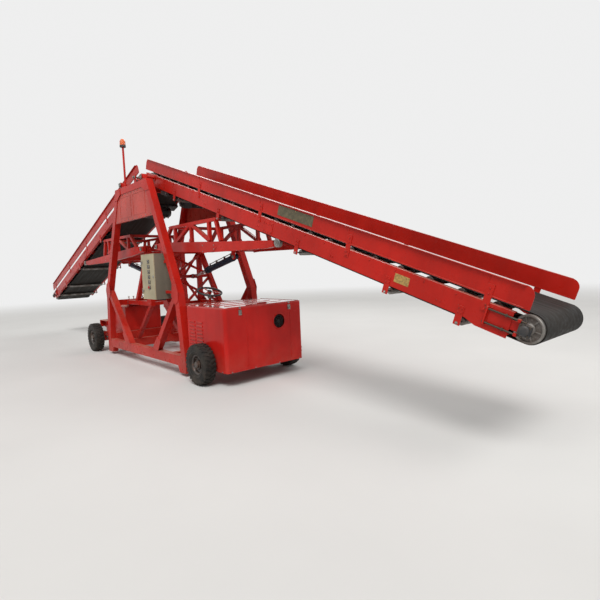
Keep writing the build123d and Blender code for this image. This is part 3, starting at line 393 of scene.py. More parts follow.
zinc_steel = mottled(
    "zinc_steel", 0.42, (26.0, 6.0, 0.7), (0.42, 0.68),
    ((0.33, 0.32, 0.30, 1.0), (0.12, 0.09, 0.07, 1.0)), (0.34, 0.7), (320.0, 2.0, 0.0003, 0.4),
    metallic=0.9,
)
frame_enamel = sprayed_enamel("frame_enamel", FRAME_VERMILION, 0.5)
dress(frame_enamel, "side_frame_left", "side_frame_right", "cross_beams")
for side, hand in SIDES:
    fittings = bmesh.new()
    for x in (-PIVOT_X, PIVOT_X):
        cap = outward(x, PIN_END, PIVOT_Z, hand)
        add_round(fittings, cap, (0.034, 0.0005, 0.010, 28))
        ring_bolts(fittings, cap, 4, 0.023, 0.010, 0.010, 0.5)
        for step in (-BEARING_BOLT_X, BEARING_BOLT_X):
            add_bolt(fittings, outward(x + step, BEARING_FACE, BEARING_BOLT_Z, hand), 0.011)
    keep_piece(f"pivot_caps_{side}", fittings, "chassis", zinc_steel, 0.0008)


# The gussets of the tower: flat plates welded over the joints of the side frames, each with the
# bead of the weld left round it.
FRAME_FACE = 0.670
GUSSET_T = 0.008
WELD_BEAD = 0.002
BOTH = (1, -1)
# gusset: corners as x and height, on both ends of both side frames
GUSSETS = (
    ((1.235, 1.330), (1.350, 1.300), (1.400, 1.180), (1.380, 1.050), (1.290, 1.000),
     (1.190, 1.120)),
    ((0.620, 2.868), (0.420, 2.868), (0.420, 2.770), (0.560, 2.690), (0.690, 2.690)),
    ((0.430, 0.286), (0.640, 0.286), (0.740, 0.430), (0.640, 0.500), (0.540, 0.400)),
)


def side_plane(way, hand):
    """The place of a plate drawn from the side: its y is up, and its thickness goes outwards."""
    return Matrix(((way, 0, 0, 0), (0, 0, hand, 0), (0, 1, 0, 0), (0, 0, 0, 1)))


def put_part(made, part, place):
    """Puts a finished part in its place among the rest of a shape."""
    bmesh.ops.transform(part, matrix=place, verts=part.verts)
    spare = bpy.data.meshes.new("spare")
    part.to_mesh(spare)
    part.free()
    made.from_mesh(spare)
    bpy.data.meshes.remove(spare)


def add_plate(made, place, corners, low, high, edge):
    """A flat plate of any outline, given as x and y, as thick as low to high on its own Z."""
    part = bmesh.new()
    face = part.faces.new([part.verts.new((x, y, low)) for x, y in corners])
    lifted = bmesh.ops.extrude_face_region(part, geom=[face])
    moving = [item for item in lifted["geom"] if isinstance(item, bmesh.types.BMVert)]
    bmesh.ops.translate(part, verts=moving, vec=(0, 0, high - low))
    bmesh.ops.recalc_face_normals(part, faces=part.faces)
    rim = [line for line in part.edges if line.calc_face_angle(0) > 0.6]
    bmesh.ops.bevel(
        part, geom=rim, offset=edge, affect="EDGES", segments=1, profile=0.5, material=-1
    )
    put_part(made, part, place)


for side, hand in SIDES:
    gussets = bmesh.new()
    for way in BOTH:
        for corners in GUSSETS:
            faces = (FRAME_FACE - 0.0005, FRAME_FACE + GUSSET_T)
            add_plate(gussets, side_plane(way, hand), corners, *faces, WELD_BEAD)
    keep_piece(f"frame_gussets_{side}", gussets, "chassis", frame_enamel)


# The sheet panels at the top of the side frames: pressed steel with a raised field and a row of
# screws along each edge, sprayed with the frame and faded paler by the sun.
PANEL_ROSE = (0.47, 0.050, 0.034, 1.0)
PANEL_FACE = 0.660
FIELD_FOOT = 2.38
FIELD_HEAD = 2.72
FIELD_EDGE = 0.012
panel_enamel = sprayed_enamel("panel_enamel", PANEL_ROSE, 0.5)
dress(panel_enamel, "side_panels")
for side, hand in SIDES:
    face = side_plane(1, hand)
    fields = bmesh.new()
    for low, high in ((-0.50, -0.04), (0.04, 0.50)):
        for c in (FIELD_FOOT, FIELD_HEAD - FIELD_EDGE):
            d = c + FIELD_EDGE
            corners = ((low, c), (high, c), (high, d), (low, d))
            add_plate(fields, face, corners, PANEL_FACE - 0.001, PANEL_FACE + 0.004, WELD_BEAD)
        for a in (low, high - FIELD_EDGE):
            b, c, d = a + FIELD_EDGE, FIELD_FOOT + 0.003, FIELD_HEAD - 0.003
            corners = ((a, c), (b, c), (b, d), (a, d))
            add_plate(fields, face, corners, PANEL_FACE - 0.001, PANEL_FACE + 0.0034, WELD_BEAD)
    keep_piece(f"panel_field_{side}", fields, "chassis", panel_enamel)
    screws = bmesh.new()
    for step in range(9):
        for reach, z in ((0.47, 2.748), (0.66, 2.345)):
            add_bolt(screws, outward(reach * (-1 + step / 4), PANEL_FACE, z, hand), 0.010)
    keep_piece(f"panel_screws_{side}", screws, "chassis", zinc_steel)


# The roller that bridges the gap from one belt to the other: a turned steel tube on a through
# shaft, which two plates on the tower hold with a nut on each side.
BRIDGE_Z = 2.990
ROLLER_GREY = (0.30, 0.29, 0.275, 1.0)


def turned_steel(name, colour, grime, gloss=0.34):
    """Bare turned steel: rings from the lathe, rubbed bright, with rust and grime in patches."""
    material, tree, shader = new_finish(name, gloss, metallic=0.85)
    patches = ranged(tree, speckle(tree, 6.0, 7.0, 0.65), 0.40, 0.66)
    dirt = worked(tree, "MULTIPLY", patches, grime)
    rings = speckle(tree, 30.0, 3.0, stretch=(1.0, 0.05, 1.0))
    bright = tinted(tree, rings, shaded(colour, 0.75), colour)
    wire(tree, shader, {
        "Base Color": tinted(tree, dirt, bright, (0.075, 0.045, 0.028, 1.0)),
        "Roughness": ranged(tree, dirt, 0.0, 1.0, gloss, 0.8),
        "Metallic": ranged(tree, dirt, 0.3, 1.0, 0.85, 0.15),
    })
    raised(tree, shader, speckle(tree, 220.0, 2.0, stretch=(0.02, 1.0, 0.02)), 0.0004, 0.3)
    return material


bridge_steel = turned_steel("bridge_steel", ROLLER_GREY, 0.85, 0.42)
dress(bridge_steel, "transfer_roller")
bridge_nuts = bmesh.new()
for hand in BOTH:
    nut = outward(0, 0.5875, BRIDGE_Z, hand)
    add_round(bridge_nuts, nut, (0.026, 0.0, 0.004, 24), (0.022, 0.004, 0.020, 6))
    add_round(bridge_nuts, nut, (0.013, 0.018, 0.034, 16, 0.011))
    collar = outward(0, 0.352, BRIDGE_Z, hand)
    add_round(bridge_nuts, collar, (0.034, 0.0, 0.012, 28, 0.028))
keep_piece("bridge_nuts", bridge_nuts, "chassis", zinc_steel, 0.0008)


# The warning lamp: an orange lens with moulded ribs on a black rubber foot, at the top of a
# sprayed steel pole that is bolted down on the left side frame.
BEACON = (0.300, 0.620)
POLE_FOOT = 2.878
LENS_FOOT = 3.5403
dress(frame_enamel, "beacon_pole")
lens_orange = mottled(
    "lens_orange", 0.16, (22.0, 5.0), (0.35, 0.7),
    ((0.80, 0.16, 0.015, 1.0), (0.62, 0.10, 0.012, 1.0)), None, (90.0, 2.0, 0.0004, 0.3),
    coat=0.6, specular=0.6,
)
glow = {"Subsurface Weight": 0.25, "Subsurface Scale": 0.02}
wire(lens_orange.node_tree, lens_orange.node_tree.nodes["Principled BSDF"], glow)
dress(lens_orange, "beacon_lamp")
moulded_black = mottled(
    "moulded_black", 0.5, (35.0, 6.0, 0.7), (0.45, 0.72),
    ((0.016, 0.016, 0.017, 1.0), (0.060, 0.052, 0.045, 1.0)), (0.42, 0.75),
    (420.0, 2.0, 0.0003, 0.5),
)


def corner_bolts(made, place, x, y, size):
    """Four bolts at the corners of a rectangle about a place."""
    for a in (-x, x):
        for b in (-y, y):
            add_bolt(made, place @ moved(a, b, 0), size)


def add_lathe(made, place, outline, steps):
    """A shape turned round its own Z from an outline of radius and height."""
    part = bmesh.new()
    ring = [part.verts.new((radius, 0.0, z)) for radius, z in outline]
    lines = [part.edges.new(pair) for pair in zip(ring, ring[1:])]
    bmesh.ops.spin(
        part, geom=ring + lines, axis=(0, 0, 1), cent=(0, 0, 0), angle=2 * pi, steps=steps,
        use_merge=True,
    )
    bmesh.ops.remove_doubles(part, verts=part.verts, dist=0.00002)
    put_part(made, part, place)


def add_ring(made, place, outline, steps):
    """A turned ring, whose outline comes back to its first point."""
    add_lathe(made, place, (*outline, outline[0]), steps)


lens_ribs = bmesh.new()
for level in range(5):
    z = LENS_FOOT + 0.016 + 0.013 * level
    r = 0.0452 - 0.0006 * level
    inner, crest = r - 0.002, r + 0.0022
    rib = ((inner, z - 0.004), (crest, z - 0.001), (crest, z + 0.001), (inner, z + 0.004))
    add_ring(lens_ribs, moved(*BEACON, 0), rib, 40)
keep_piece("lens_ribs", lens_ribs, "chassis", lens_orange)
lamp_foot = bmesh.new()
foot = (
    (0.0, 3.516), (0.044, 3.516), (0.048, 3.520), (0.048, 3.546), (0.0455, 3.549), (0.0440, 3.549),
    (0.0440, 3.5405), (0.0, 3.5405),
)
add_lathe(lamp_foot, moved(*BEACON, 0), foot, 40)
keep_piece("lamp_foot", lamp_foot, "chassis", moulded_black)
pole_bolts = bmesh.new()
corner_bolts(pole_bolts, moved(*BEACON, POLE_FOOT), 0.028, 0.028, 0.010)
keep_piece("pole_bolts", pole_bolts, "chassis", zinc_steel)


# The control cabinet: a case of folded sheet in grey-beige powder paint, on flat arms from the
# tower. Its door has a row of shrouded push buttons, two hinges and a cam lock; the case's paint
# is a darker copy of the door's beige, as painted shade.
CABINET_BEIGE = (0.42, 0.365, 0.240, 1.0)
# painted shade: the case's colour is the door's beige made darker, standing in for the shade on the
# case's sides
CASE_SHADED_BEIGE = (0.185, 0.165, 0.125, 1.0)
STOP_RED = (0.52, 0.012, 0.010, 1.0)
DOOR_T = 0.015
DOOR_GAP = 0.0003
HINGE_OUT = 0.009
BUTTONS = 6
BUTTON_DROP = 0.110
BUTTON_PITCH = 0.075
case_low = Vector((-0.9452, 0.520, 1.080))
case_high = Vector((-0.5252, 0.780, 1.740))
door_face = case_high.y + DOOR_GAP
door_out = door_face + DOOR_T
row_x = case_low.x + 0.180
button_heights = [case_high.z - BUTTON_DROP - BUTTON_PITCH * level for level in range(BUTTONS)]
cabinet_paint = sprayed_enamel("cabinet_paint", CABINET_BEIGE, 0.5, gloss=0.42)
shaded_case_paint = sprayed_enamel("shaded_case_paint", CASE_SHADED_BEIGE, 0.5, gloss=0.42)
stop_red = sprayed_enamel("stop_red", STOP_RED, 0.2, gloss=0.3)
dress(shaded_case_paint, "control_cabinet")


def add_block(made, low, high, place=HERE):
    """A block between two corners."""
    size = [abs(b - a) for a, b in zip(low, high)]
    middle = [(a + b) / 2 for a, b in zip(low, high)]
    shape = place @ Matrix.Translation(middle) @ Matrix.Diagonal((*size, 1.0))
    bmesh.ops.create_cube(made, size=1.0, matrix=shape)


door = bmesh.new()
add_block(door, (case_low.x, door_face, case_low.z), (case_high.x, door_out, case_high.z))
outer = [face for face in door.faces if face.normal.y > 0.9]
bmesh.ops.inset_region(door, faces=outer, thickness=0.016, depth=0.0)
bmesh.ops.inset_region(door, faces=outer, thickness=0.004, depth=-0.003)
for z in button_heights:
    add_round(door, facing((row_x, door_out - 0.004, z), (0, 1, 0)), (0.0235, 0.0, 0.006, 28))
door_piece = keep_piece("door_leaf", door, "door", cabinet_paint, 0.0022)
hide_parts("cabinet_door")

bezels = bmesh.new()
caps = bmesh.new()
stop = bmesh.new()
bezel = (
    (0.0150, -0.002), (0.0205, -0.002), (0.0215, 0.001), (0.0200, 0.006), (0.0165, 0.0075),
    (0.0150, 0.006),
)
cap = ((0.0, -0.001), (0.0146, -0.001), (0.0146, 0.0050), (0.0130, 0.0068), (0.0, 0.0060))
knob = (
    (0.0, 0.0), (0.010, 0.0), (0.010, 0.010), (0.019, 0.012), (0.020, 0.017), (0.016, 0.021),
    (0.0, 0.023),
)
for z in button_heights:
    spot = facing((row_x, door_out, z), (0, 1, 0))
    add_block(caps, (-0.036, -0.004, -0.027), (0.036, 0.0012, 0.027), moved(row_x, door_out, z))
    add_ring(bezels, spot, bezel, 28)
    if z == button_heights[-1]:
        add_lathe(stop, spot, knob, 28)
    else:
        add_lathe(caps, spot, cap, 28)
keep_piece("button_bezels", bezels, "door", zinc_steel)
keep_piece("button_caps", caps, "door", moulded_black)
keep_piece("stop_button", stop, "door", stop_red)

fixings = bmesh.new()
for z in (case_low.z + 0.12, case_high.z - 0.12):
    hinge = moved(case_high.x + HINGE_OUT, door_out, z)
    add_round(fixings, hinge, (0.007, -0.020, 0.020, 24))
    add_block(fixings, (-0.050, -0.0015, -0.020), (0.0, 0.0020, 0.020), hinge)
    for x, rise in ((-0.040, 0.010), (-0.024, -0.010)):
        add_bolt(fixings, hinge @ facing((x, 0.0019, rise), (0, 1, 0)), 0.007)
lock = facing((case_low.x + 0.030, door_out, (case_low.z + case_high.z) / 2), (0, 1, 0))
cam = (
    (0.0, -0.001), (0.017, -0.001), (0.017, 0.004), (0.014, 0.008), (0.006, 0.008), (0.005, 0.005),
    (0.0, 0.005),
)
add_lathe(fixings, lock, cam, 28)
add_block(fixings, (-0.0015, -0.010, 0.007), (0.0015, 0.010, 0.010), lock)
keep_piece("door_fixings", fixings, "door", zinc_steel, 0.0006)

# Screwed glands under the case, where its leads go in, with blind plugs in the spare ones, and
# the folded seams round its top and foot.
glands = bmesh.new()
plug = ((0.0, 0.006), (0.015, 0.006), (0.016, 0.020), (0.012, 0.027), (0.0, 0.027))
for step in range(5):
    under = facing((case_low.x + 0.07 + 0.07 * step, case_low.y + 0.10, case_low.z), (0, 0, -1))
    add_round(glands, under, (0.019, 0.0, 0.008, 6))
    add_lathe(glands, under, plug, 20)
keep_piece("cabinet_glands", glands, "chassis", moulded_black, 0.0006)
seams = bmesh.new()
for z in (case_low.z - 0.0015, case_high.z - 0.006):
    corner = (case_low.x - 0.002, case_low.y - 0.002, z)
    add_block(seams, corner, (case_high.x + 0.002, case_high.y - 0.004, z + 0.0075))
for z in (case_low.z + 0.10, case_high.z - 0.12):
    for y in (0.600, 0.640):
        add_bolt(seams, facing((case_low.x - 0.0055, y, z), (-1, 0, 0)), 0.012)
keep_piece("cabinet_seams", seams, "chassis", shaded_case_paint)


# The booms' frames: two rolled steel channels sprayed vermilion, with a bolt at each end of
# every roller's shaft and of every cross member. Straps up the outside hold the skirt boards.
SLOPE = radians(19.0)
WEB = 0.450
SPLICE_T = 0.005
STRAP_T = 0.006
CARRY_N = 0.0117
CARRY_AT = [0.060 + 0.290 * step for step in range(20)]
RETURN_N = -0.1983
RETURN_AT = (0.700, 1.900, 3.450, 4.650, 5.350)
MEMBER_N = -0.0875
MEMBER_AT = (0.355, 1.555, 2.755, 3.955, 5.155)
STRAP_AT = (1.3775, 2.7575, 4.1375, 5.5175)
SEAM_AT = (1.35, 2.73, 4.11, 5.49)
SPLICE_ENDS = (2.84, 3.02)
SPLICE_AT = (2.865, 2.905, 2.955, 2.995)
SKIRT_TOP = 0.240
SKIRT_FOOT = 0.080
HEM_R = 0.0055
HEM_FROM = -0.315
HEM_LENGTH = 6.09
ENDS = (("front", 1), ("rear", -1))


def boom_line(way):
    """The place of a boom's own line: down to its tail, across, and up from its pivot."""
    return Matrix((
        (way * cos(SLOPE), 0.0, way * sin(SLOPE), way * PIVOT_X),
        (0.0, 1.0, 0.0, 0.0),
        (-sin(SLOPE), 0.0, cos(SLOPE), PIVOT_Z),
        (0.0, 0.0, 0.0, 1.0),
    ))


def boom_bolts():
    """The bolts on one side of a boom: how far along, out and up, and how wide each is."""
    for s in CARRY_AT:
        strapped = min(abs(s - at) for at in STRAP_AT) < 0.036
        yield s, WEB + (STRAP_T if strapped else 0.0), CARRY_N, 0.011
    for s in RETURN_AT:
        for n in (-0.112, -0.078):
            for step in (-0.012, 0.012):
                yield s + step, WEB + SPLICE_T, n, 0.010
    for s in MEMBER_AT:
        for step in (-0.016, 0.016):
            yield s + step, WEB, MEMBER_N, 0.010
    for s in STRAP_AT:
        for n in (-0.020, 0.016, 0.100, 0.140):
            yield s, WEB + STRAP_T, n, 0.011
    for s in SPLICE_AT:
        for n in (-0.105, -0.015):
            yield s, WEB + SPLICE_T, n, 0.011


boom_enamels = {}
for end, way in ENDS:
    line = boom_line(way)
    enamel = sprayed_enamel("boom_enamel_" + end, FRAME_VERMILION, 0.55, lean=-way * SLOPE)
    boom_enamels[end] = enamel
    dress(enamel, "boom_frame_" + end, "boom_skirts_" + end)
    bolts = bmesh.new()
    nuts = bmesh.new()
    plates = bmesh.new()
    for hand in BOTH:
        for s, out, n, size in boom_bolts():
            add_bolt(bolts, line @ outward(s, out, n, hand), size)
        for s in RETURN_AT:
            add_bolt(nuts, line @ outward(s, WEB + SPLICE_T, RETURN_N, hand), 0.014)
        # a splice plate where two lengths of channel meet, and a seam where two boards do
        inner = hand * (WEB - 0.001)
        corner = (SPLICE_ENDS[1], hand * (WEB + SPLICE_T), 0.004)
        add_block(plates, (SPLICE_ENDS[0], inner, -0.125), corner, line)
        for s in SEAM_AT:
            corner = (s + 0.001, hand * (WEB + 0.0028), SKIRT_TOP - 0.005)
            add_block(plates, (s - 0.015, inner, SKIRT_FOOT + 0.002), corner, line)
        # the hem along the foot of each board, rolled outward
        hem = line @ facing((HEM_FROM, hand * (WEB + 0.0005), SKIRT_FOOT + 0.005), (1, 0, 0))
        add_round(plates, hem, (HEM_R, 0.0, HEM_LENGTH, 10))
    keep_piece(f"boom_bolts_{end}", bolts, "boom_" + end, enamel)
    keep_piece(f"roller_nuts_{end}", nuts, "boom_" + end, zinc_steel)
    keep_piece(f"boom_plates_{end}", plates, "boom_" + end, enamel, 0.0012)


# Blank plates on the rear boom: a long olive one of painted sheet, riveted to its left skirt, and
# a small one of bare brass on the channel, both cut from flat strip.
plate_olive = mottled(
    "plate_olive", 0.45, (18.0, 6.0, 0.7), (0.42, 0.7),
    ((0.060, 0.050, 0.022, 1.0), (0.13, 0.10, 0.05, 1.0)), None, (120.0, 3.0, 0.0005, 0.4),
)
plate_brass = mottled(
    "plate_brass", 0.35, (60.0, 5.0), (0.4, 0.7),
    ((0.55, 0.36, 0.12, 1.0), (0.22, 0.15, 0.07, 1.0)), metallic=0.8,
)
rear_face = boom_line(-1) @ side_plane(1, 1)
olive = bmesh.new()
corners = ((3.06, 0.112), (3.62, 0.112), (3.62, 0.218), (3.06, 0.218))
add_plate(olive, rear_face, corners, WEB - 0.001, WEB + 0.0025, 0.001)
keep_piece("olive_plate", olive, "boom_rear", plate_olive)
small = bmesh.new()
corners = ((4.71, -0.085), (4.86, -0.085), (4.86, -0.010), (4.71, -0.010))
add_plate(small, rear_face, corners, WEB - 0.001, WEB + 0.002, 0.0008)
for s in (3.09, 3.34, 3.59):
    for n in (0.124, 0.206):
        rivet = rear_face @ moved(s, n, WEB + 0.0022)
        add_round(small, rivet, (0.004, 0.0, 0.0018, 10, 0.0025))
keep_piece("small_plate", small, "boom_rear", plate_brass)


# The belts: black rubber on fabric, endless round two pulleys, with a matt lane rubbed brown
# along the middle, dust at the edges, and a row of steel clips where the ends are laced together.
BELT_HALF = 0.370
BELT_TOP = 0.058
CLIP_W = 0.019
CLIP_PITCH = 0.026
LACE_S = 3.197


def belt_rubber(name, lean):
    """Black rubber with lengthwise scuffs, a dusty middle lane, and the weave showing through."""
    material, tree, shader = new_finish(name, 0.7, specular=0.12)
    off = worked(tree, "ABSOLUTE", axis_of(tree, own_place(tree), "Y"), 0.0)
    lane = ranged(tree, ranged(tree, off, 0.33, 0.20), 0.0, 1.0, 0.35, 1.0)
    streaks = ranged(tree, speckle(tree, 26.0, 6.0, 0.65, (0.05, 1.0, 1.0), lean), 0.36, 0.70)
    clouds = ranged(tree, speckle(tree, 2.2, 5.0, lean=lean), 0.35, 0.70)
    rubber = tinted(tree, clouds, (0.012, 0.0115, 0.011, 1.0), (0.026, 0.024, 0.022, 1.0))
    dust = worked(tree, "MULTIPLY", worked(tree, "MULTIPLY", streaks, lane), 0.26)
    wire(tree, shader, {
        "Base Color": tinted(tree, dust, rubber, (0.062, 0.045, 0.032, 1.0)),
        "Roughness": ranged(tree, streaks, 0.0, 1.0, 0.5, 0.85),
    })
    weave = speckle(tree, 160.0, 2.0, stretch=(0.35, 1.0, 1.0), lean=lean)
    raised(tree, shader, weave, 0.0008, 0.5)
    raised(tree, shader, streaks, 0.0006, 0.4)
    return material


for end, way in ENDS:
    line = boom_line(way)
    rubber = belt_rubber("belt_rubber_" + end, -way * SLOPE)
    dress(rubber, "boom_belt_" + end)
    clips = bmesh.new()
    for step in range(28):
        y = -0.351 + CLIP_PITCH * step
        for s in (LACE_S - 0.022, LACE_S + 0.003):
            low = (s, y - CLIP_W / 2, BELT_TOP - 0.0005)
            add_block(clips, low, (s + CLIP_W, y + CLIP_W / 2, BELT_TOP + 0.0016), line)
        for s in (LACE_S - 0.013, LACE_S + 0.013):
            add_round(clips, line @ moved(s, y, BELT_TOP + 0.0014), (0.0035, 0.0, 0.0018, 8))
    pin = line @ facing((LACE_S, -0.362, BELT_TOP + 0.001), (0, 1, 0))
    add_round(clips, pin, (0.0022, 0.0, 0.724, 8))
    keep_piece(f"belt_clips_{end}", clips, "boom_" + end, bridge_steel)
    # the covers' cut edges, where the plies show as two fine ridges
    plies = bmesh.new()
    for hand in BOTH:
        for n in (0.0525, 0.0555, -0.1625, -0.1655):
            low = (-0.19, hand * BELT_HALF, n - 0.0007)
            add_block(plies, low, (5.82, hand * (BELT_HALF + 0.0012), n + 0.0007), line)
    keep_piece(f"belt_plies_{end}", plies, "boom_" + end, rubber)


# The pulleys and rollers: turned steel drums, their ends closed by ribbed discs round a hub.
# Rollers run in the channels and hang below them; all are dull with rubber dust and rust, and the
# rollers' steel is darkened partly as painted shade for the shadow under the belt.
HEAD_S = -0.200
TAIL_S = 5.830
PULLEY_N = -0.055
DRUM_END = 0.385
DRUM_R = 0.1047
DISC_RIM = (
    (0.086, 0.0), (DRUM_R, 0.0), (DRUM_R, 0.011), (0.101, 0.014), (0.090, 0.014), (0.086, 0.010)
)
DISC_HUB = ((0.0205, 0.0), (0.046, 0.0), (0.046, 0.012), (0.038, 0.024), (0.0205, 0.026))
# painted shade in part: the rollers' steel is kept dark for the shadow under the belt, besides its
# real dirt and rust
shade_darkened_roller_finish = turned_steel("worn_and_shade_darkened_rollers", ROLLER_GREY, 0.9, 0.4)
disc_steel = turned_steel("disc_steel", (0.36, 0.35, 0.33, 1.0), 0.75)
for end, way in ENDS:
    line = boom_line(way)
    dress(shade_darkened_roller_finish, "boom_rollers_" + end)
    discs = bmesh.new()
    for s in (HEAD_S, TAIL_S):
        for hand in BOTH:
            spot = line @ outward(s, DRUM_END, PULLEY_N, hand)
            add_ring(discs, spot, DISC_RIM, 56)
            add_ring(discs, spot, DISC_HUB, 40)
            for turn in range(6):
                spoke = spot @ turned(turn * pi / 3)
                add_block(discs, (0.042, -0.004, 0.0), (0.090, 0.004, 0.010), spoke)
                add_bolt(discs, spoke @ turned(pi / 6) @ moved(0.066, 0, 0.0), 0.009)
    keep_piece(f"pulley_discs_{end}", discs, "boom_" + end, disc_steel, 0.0008)


# The take-up at each tail: a black cast bearing in a slide beyond the channel, pulled by two
# long screws that set how tight the belt is. The head's bearings are bolted straight on.
BLOCK_FACES = ((HEAD_S, 0.476), (TAIL_S, 0.470))
SCREW_S = 5.530
SCREW_N = 0.052
BEARING_BOWL = (
    (0.0, -0.002), (0.036, -0.002), (0.036, 0.006), (0.030, 0.015), (0.024, 0.018), (0.0, 0.018)
)
# guide: from and to along the boom, and up from the pulley's axle
GUIDES = (
    (5.540, 5.552, -0.068, 0.068), (5.770, 5.792, -0.062, -0.040), (5.770, 5.792, 0.040, 0.062)
)
cast_iron, tree, shader = new_finish("cast_iron", 0.55, specular=0.4)
grime = ranged(tree, speckle(tree, 14.0, 7.0, 0.7), 0.40, 0.70)
clouds = ranged(tree, speckle(tree, 5.0, 3.0), 0.4, 0.65)
paint = tinted(tree, clouds, (0.020, 0.022, 0.026, 1.0), (0.036, 0.038, 0.042, 1.0))
settled = worked(tree, "MULTIPLY", upward(tree), 0.5)
dust = worked(tree, "MAXIMUM", worked(tree, "MULTIPLY", grime, 0.35), settled)
wire(tree, shader, {
    "Base Color": tinted(tree, dust, paint, (0.17, 0.13, 0.10, 1.0)),
    "Roughness": ranged(tree, grime, 0.0, 1.0, 0.42, 0.8),
})
raised(tree, shader, speckle(tree, 130.0, 3.0), 0.0012, 0.5)
greased_steel = turned_steel("greased_steel", (0.10, 0.085, 0.070, 1.0), 0.9, 0.5)
for end, way in ENDS:
    line = boom_line(way)
    dress(cast_iron, "boom_drive_" + end)
    housings = bmesh.new()
    screws = bmesh.new()
    guides = bmesh.new()
    for hand in BOTH:
        for s, out in BLOCK_FACES:
            add_lathe(housings, line @ outward(s, out, PULLEY_N, hand), BEARING_BOWL, 36)
            for a in (-0.033, 0.033):
                for b in (-0.031, 0.031):
                    add_bolt(screws, line @ outward(s + a, out, PULLEY_N + b, hand), 0.009)
            oiled = (s + 0.012, hand * (out + 0.012), PULLEY_N + 0.022)
            nipple = line @ facing(oiled, (0, hand, 0.6))
            add_round(screws, nipple, (0.0035, 0.0, 0.010, 8, 0.0025))
        for n in (PULLEY_N - SCREW_N, PULLEY_N + SCREW_N):
            rod = line @ facing((SCREW_S, hand * 0.460, n), (1, 0, 0))
            add_round(screws, rod, (0.0065, 0.0, 0.300, 12))
            for turn in range(26):
                thread = rod @ moved(0, 0, 0.030 + 0.0065 * turn)
                add_round(screws, thread, (0.0078, 0.0, 0.0028, 10))
            for at in (0.008, 0.150):
                add_round(screws, rod @ moved(0, 0, at), (0.0125, 0.0, 0.011, 6))
        for near, far, low, high in GUIDES:
            corner = (near, hand * 0.449, PULLEY_N + low)
            add_block(guides, corner, (far, hand * 0.474, PULLEY_N + high), line)
    body = "boom_" + end
    keep_piece(f"bearing_bowls_{end}", housings, body, cast_iron, 0.0008)
    keep_piece(f"take_up_screws_{end}", screws, body, greased_steel)
    keep_piece(f"take_up_guides_{end}", guides, body, boom_enamels[end], 0.0012)


# The drive: a finned electric motor and its gearbox on a hanger below the belt, with the fan's
# cowl at the free end, the terminal box on its side and bolts through the feet.
DRIVE_S = 0.330
HANGER_N = -0.183
MOTOR_N = -0.283
MOTOR_R = 0.075
FINS = 40
FIN_T = 0.0032
# turned part of the motor: radius and place along its axle
MOTOR_COVERS = (
    ((0.0, -0.252), (0.080, -0.252), (0.084, -0.246), (0.084, -0.228), (0.0, -0.228)),
    ((0.0, -0.300), (0.050, -0.300), (0.078, -0.292), (0.082, -0.280), (0.082, -0.250),
     (0.0, -0.250)),
    ((0.0, -0.012), (0.082, -0.012), (0.088, -0.008), (0.088, 0.008), (0.0, 0.008)),
)
GEAR_FLANGE = (
    (0.0, 0.0), (0.052, 0.0), (0.052, 0.008), (0.034, 0.012), (0.034, 0.030), (0.0, 0.030)
)
for end, way in ENDS:
    line = boom_line(way)
    motor = bmesh.new()
    axle = line @ facing((DRIVE_S, 0.0, MOTOR_N), (0, 1, 0))
    for step in range(FINS):
        fin = axle @ turned(2 * pi * step / FINS)
        low = (MOTOR_R - 0.002, -FIN_T / 2, -0.225)
        add_block(motor, low, (MOTOR_R + 0.010, FIN_T / 2, -0.015), fin)
    for cover in MOTOR_COVERS:
        add_lathe(motor, axle, cover, 40)
    for step in range(7):
        slit = axle @ (moved(0, 0, -0.3002) @ turned(pi * step / 7))
        add_block(motor, (-0.048, -0.0022, -0.003), (0.048, 0.0022, 0.0), slit)
    boxed = line @ moved(DRIVE_S, 0.0, MOTOR_N)
    add_block(motor, (0.055, -0.165, -0.045), (0.112, -0.070, 0.045), boxed)
    add_block(motor, (-0.072, 0.018, -0.078), (0.072, 0.112, 0.080), boxed)
    flange = line @ facing((DRIVE_S - 0.02, 0.119, MOTOR_N - 0.02), (0, 1, 0))
    add_lathe(motor, flange, GEAR_FLANGE, 36)
    keep_piece(f"drive_motor_{end}", motor, "boom_" + end, cast_iron, 0.0012)
    bolts = bmesh.new()
    for s in (DRIVE_S - 0.072, DRIVE_S + 0.072):
        for y in (-0.215, 0.090):
            add_bolt(bolts, line @ facing((s, y, HANGER_N - 0.030), (0, 0, -1)), 0.012)
        for hand in BOTH:
            add_bolt(bolts, line @ outward(s, 0.440, -0.170, hand), 0.012)
    ring_bolts(bolts, flange, 6, 0.044, 0.008, 0.007)
    for y in (-0.152, -0.083):
        for n in (-0.034, 0.034):
            add_bolt(bolts, line @ facing((DRIVE_S + 0.112, y, MOTOR_N + n), (1, 0, 0)), 0.006)
    keep_piece(f"drive_bolts_{end}", bolts, "boom_" + end, zinc_steel)


# The masts that carry the lifting arms: welded square tube, tied across, on rails between the
# cross-beams. A short pin with a keeper plate holds each arm at the mast's head.
ARM_PIVOT = Vector((0.300, 0.0, 1.870))
PIN_FACE = 0.438
EYE_IN = Vector((0.690, 0.0, 1.385))
EYE_OUT = Vector((1.850, 0.0, 1.640))
LUG_FACE = 0.042
WEB_FACES = (0.3445, 0.3510)
# web plate: corners as x and height, on both ends of both masts
MAST_WEBS = (
    ((0.262, 1.800), (0.365, 1.800), (0.430, 1.660), (0.400, 1.640), (0.262, 1.640)),
    ((0.240, 0.905), (0.240, 1.060), (0.300, 1.060), (0.420, 0.975), (0.420, 0.905)),
    ((0.720, 0.975), (0.930, 0.975), (0.900, 0.905), (0.720, 0.905)),
)


def add_pin(made, place, radius, head, size):
    """A pin's flat end with a bolt in its middle."""
    add_round(made, place, (radius, 0.0003, head, 28))
    add_bolt(made, place @ moved(0.0, 0.0, head), size)


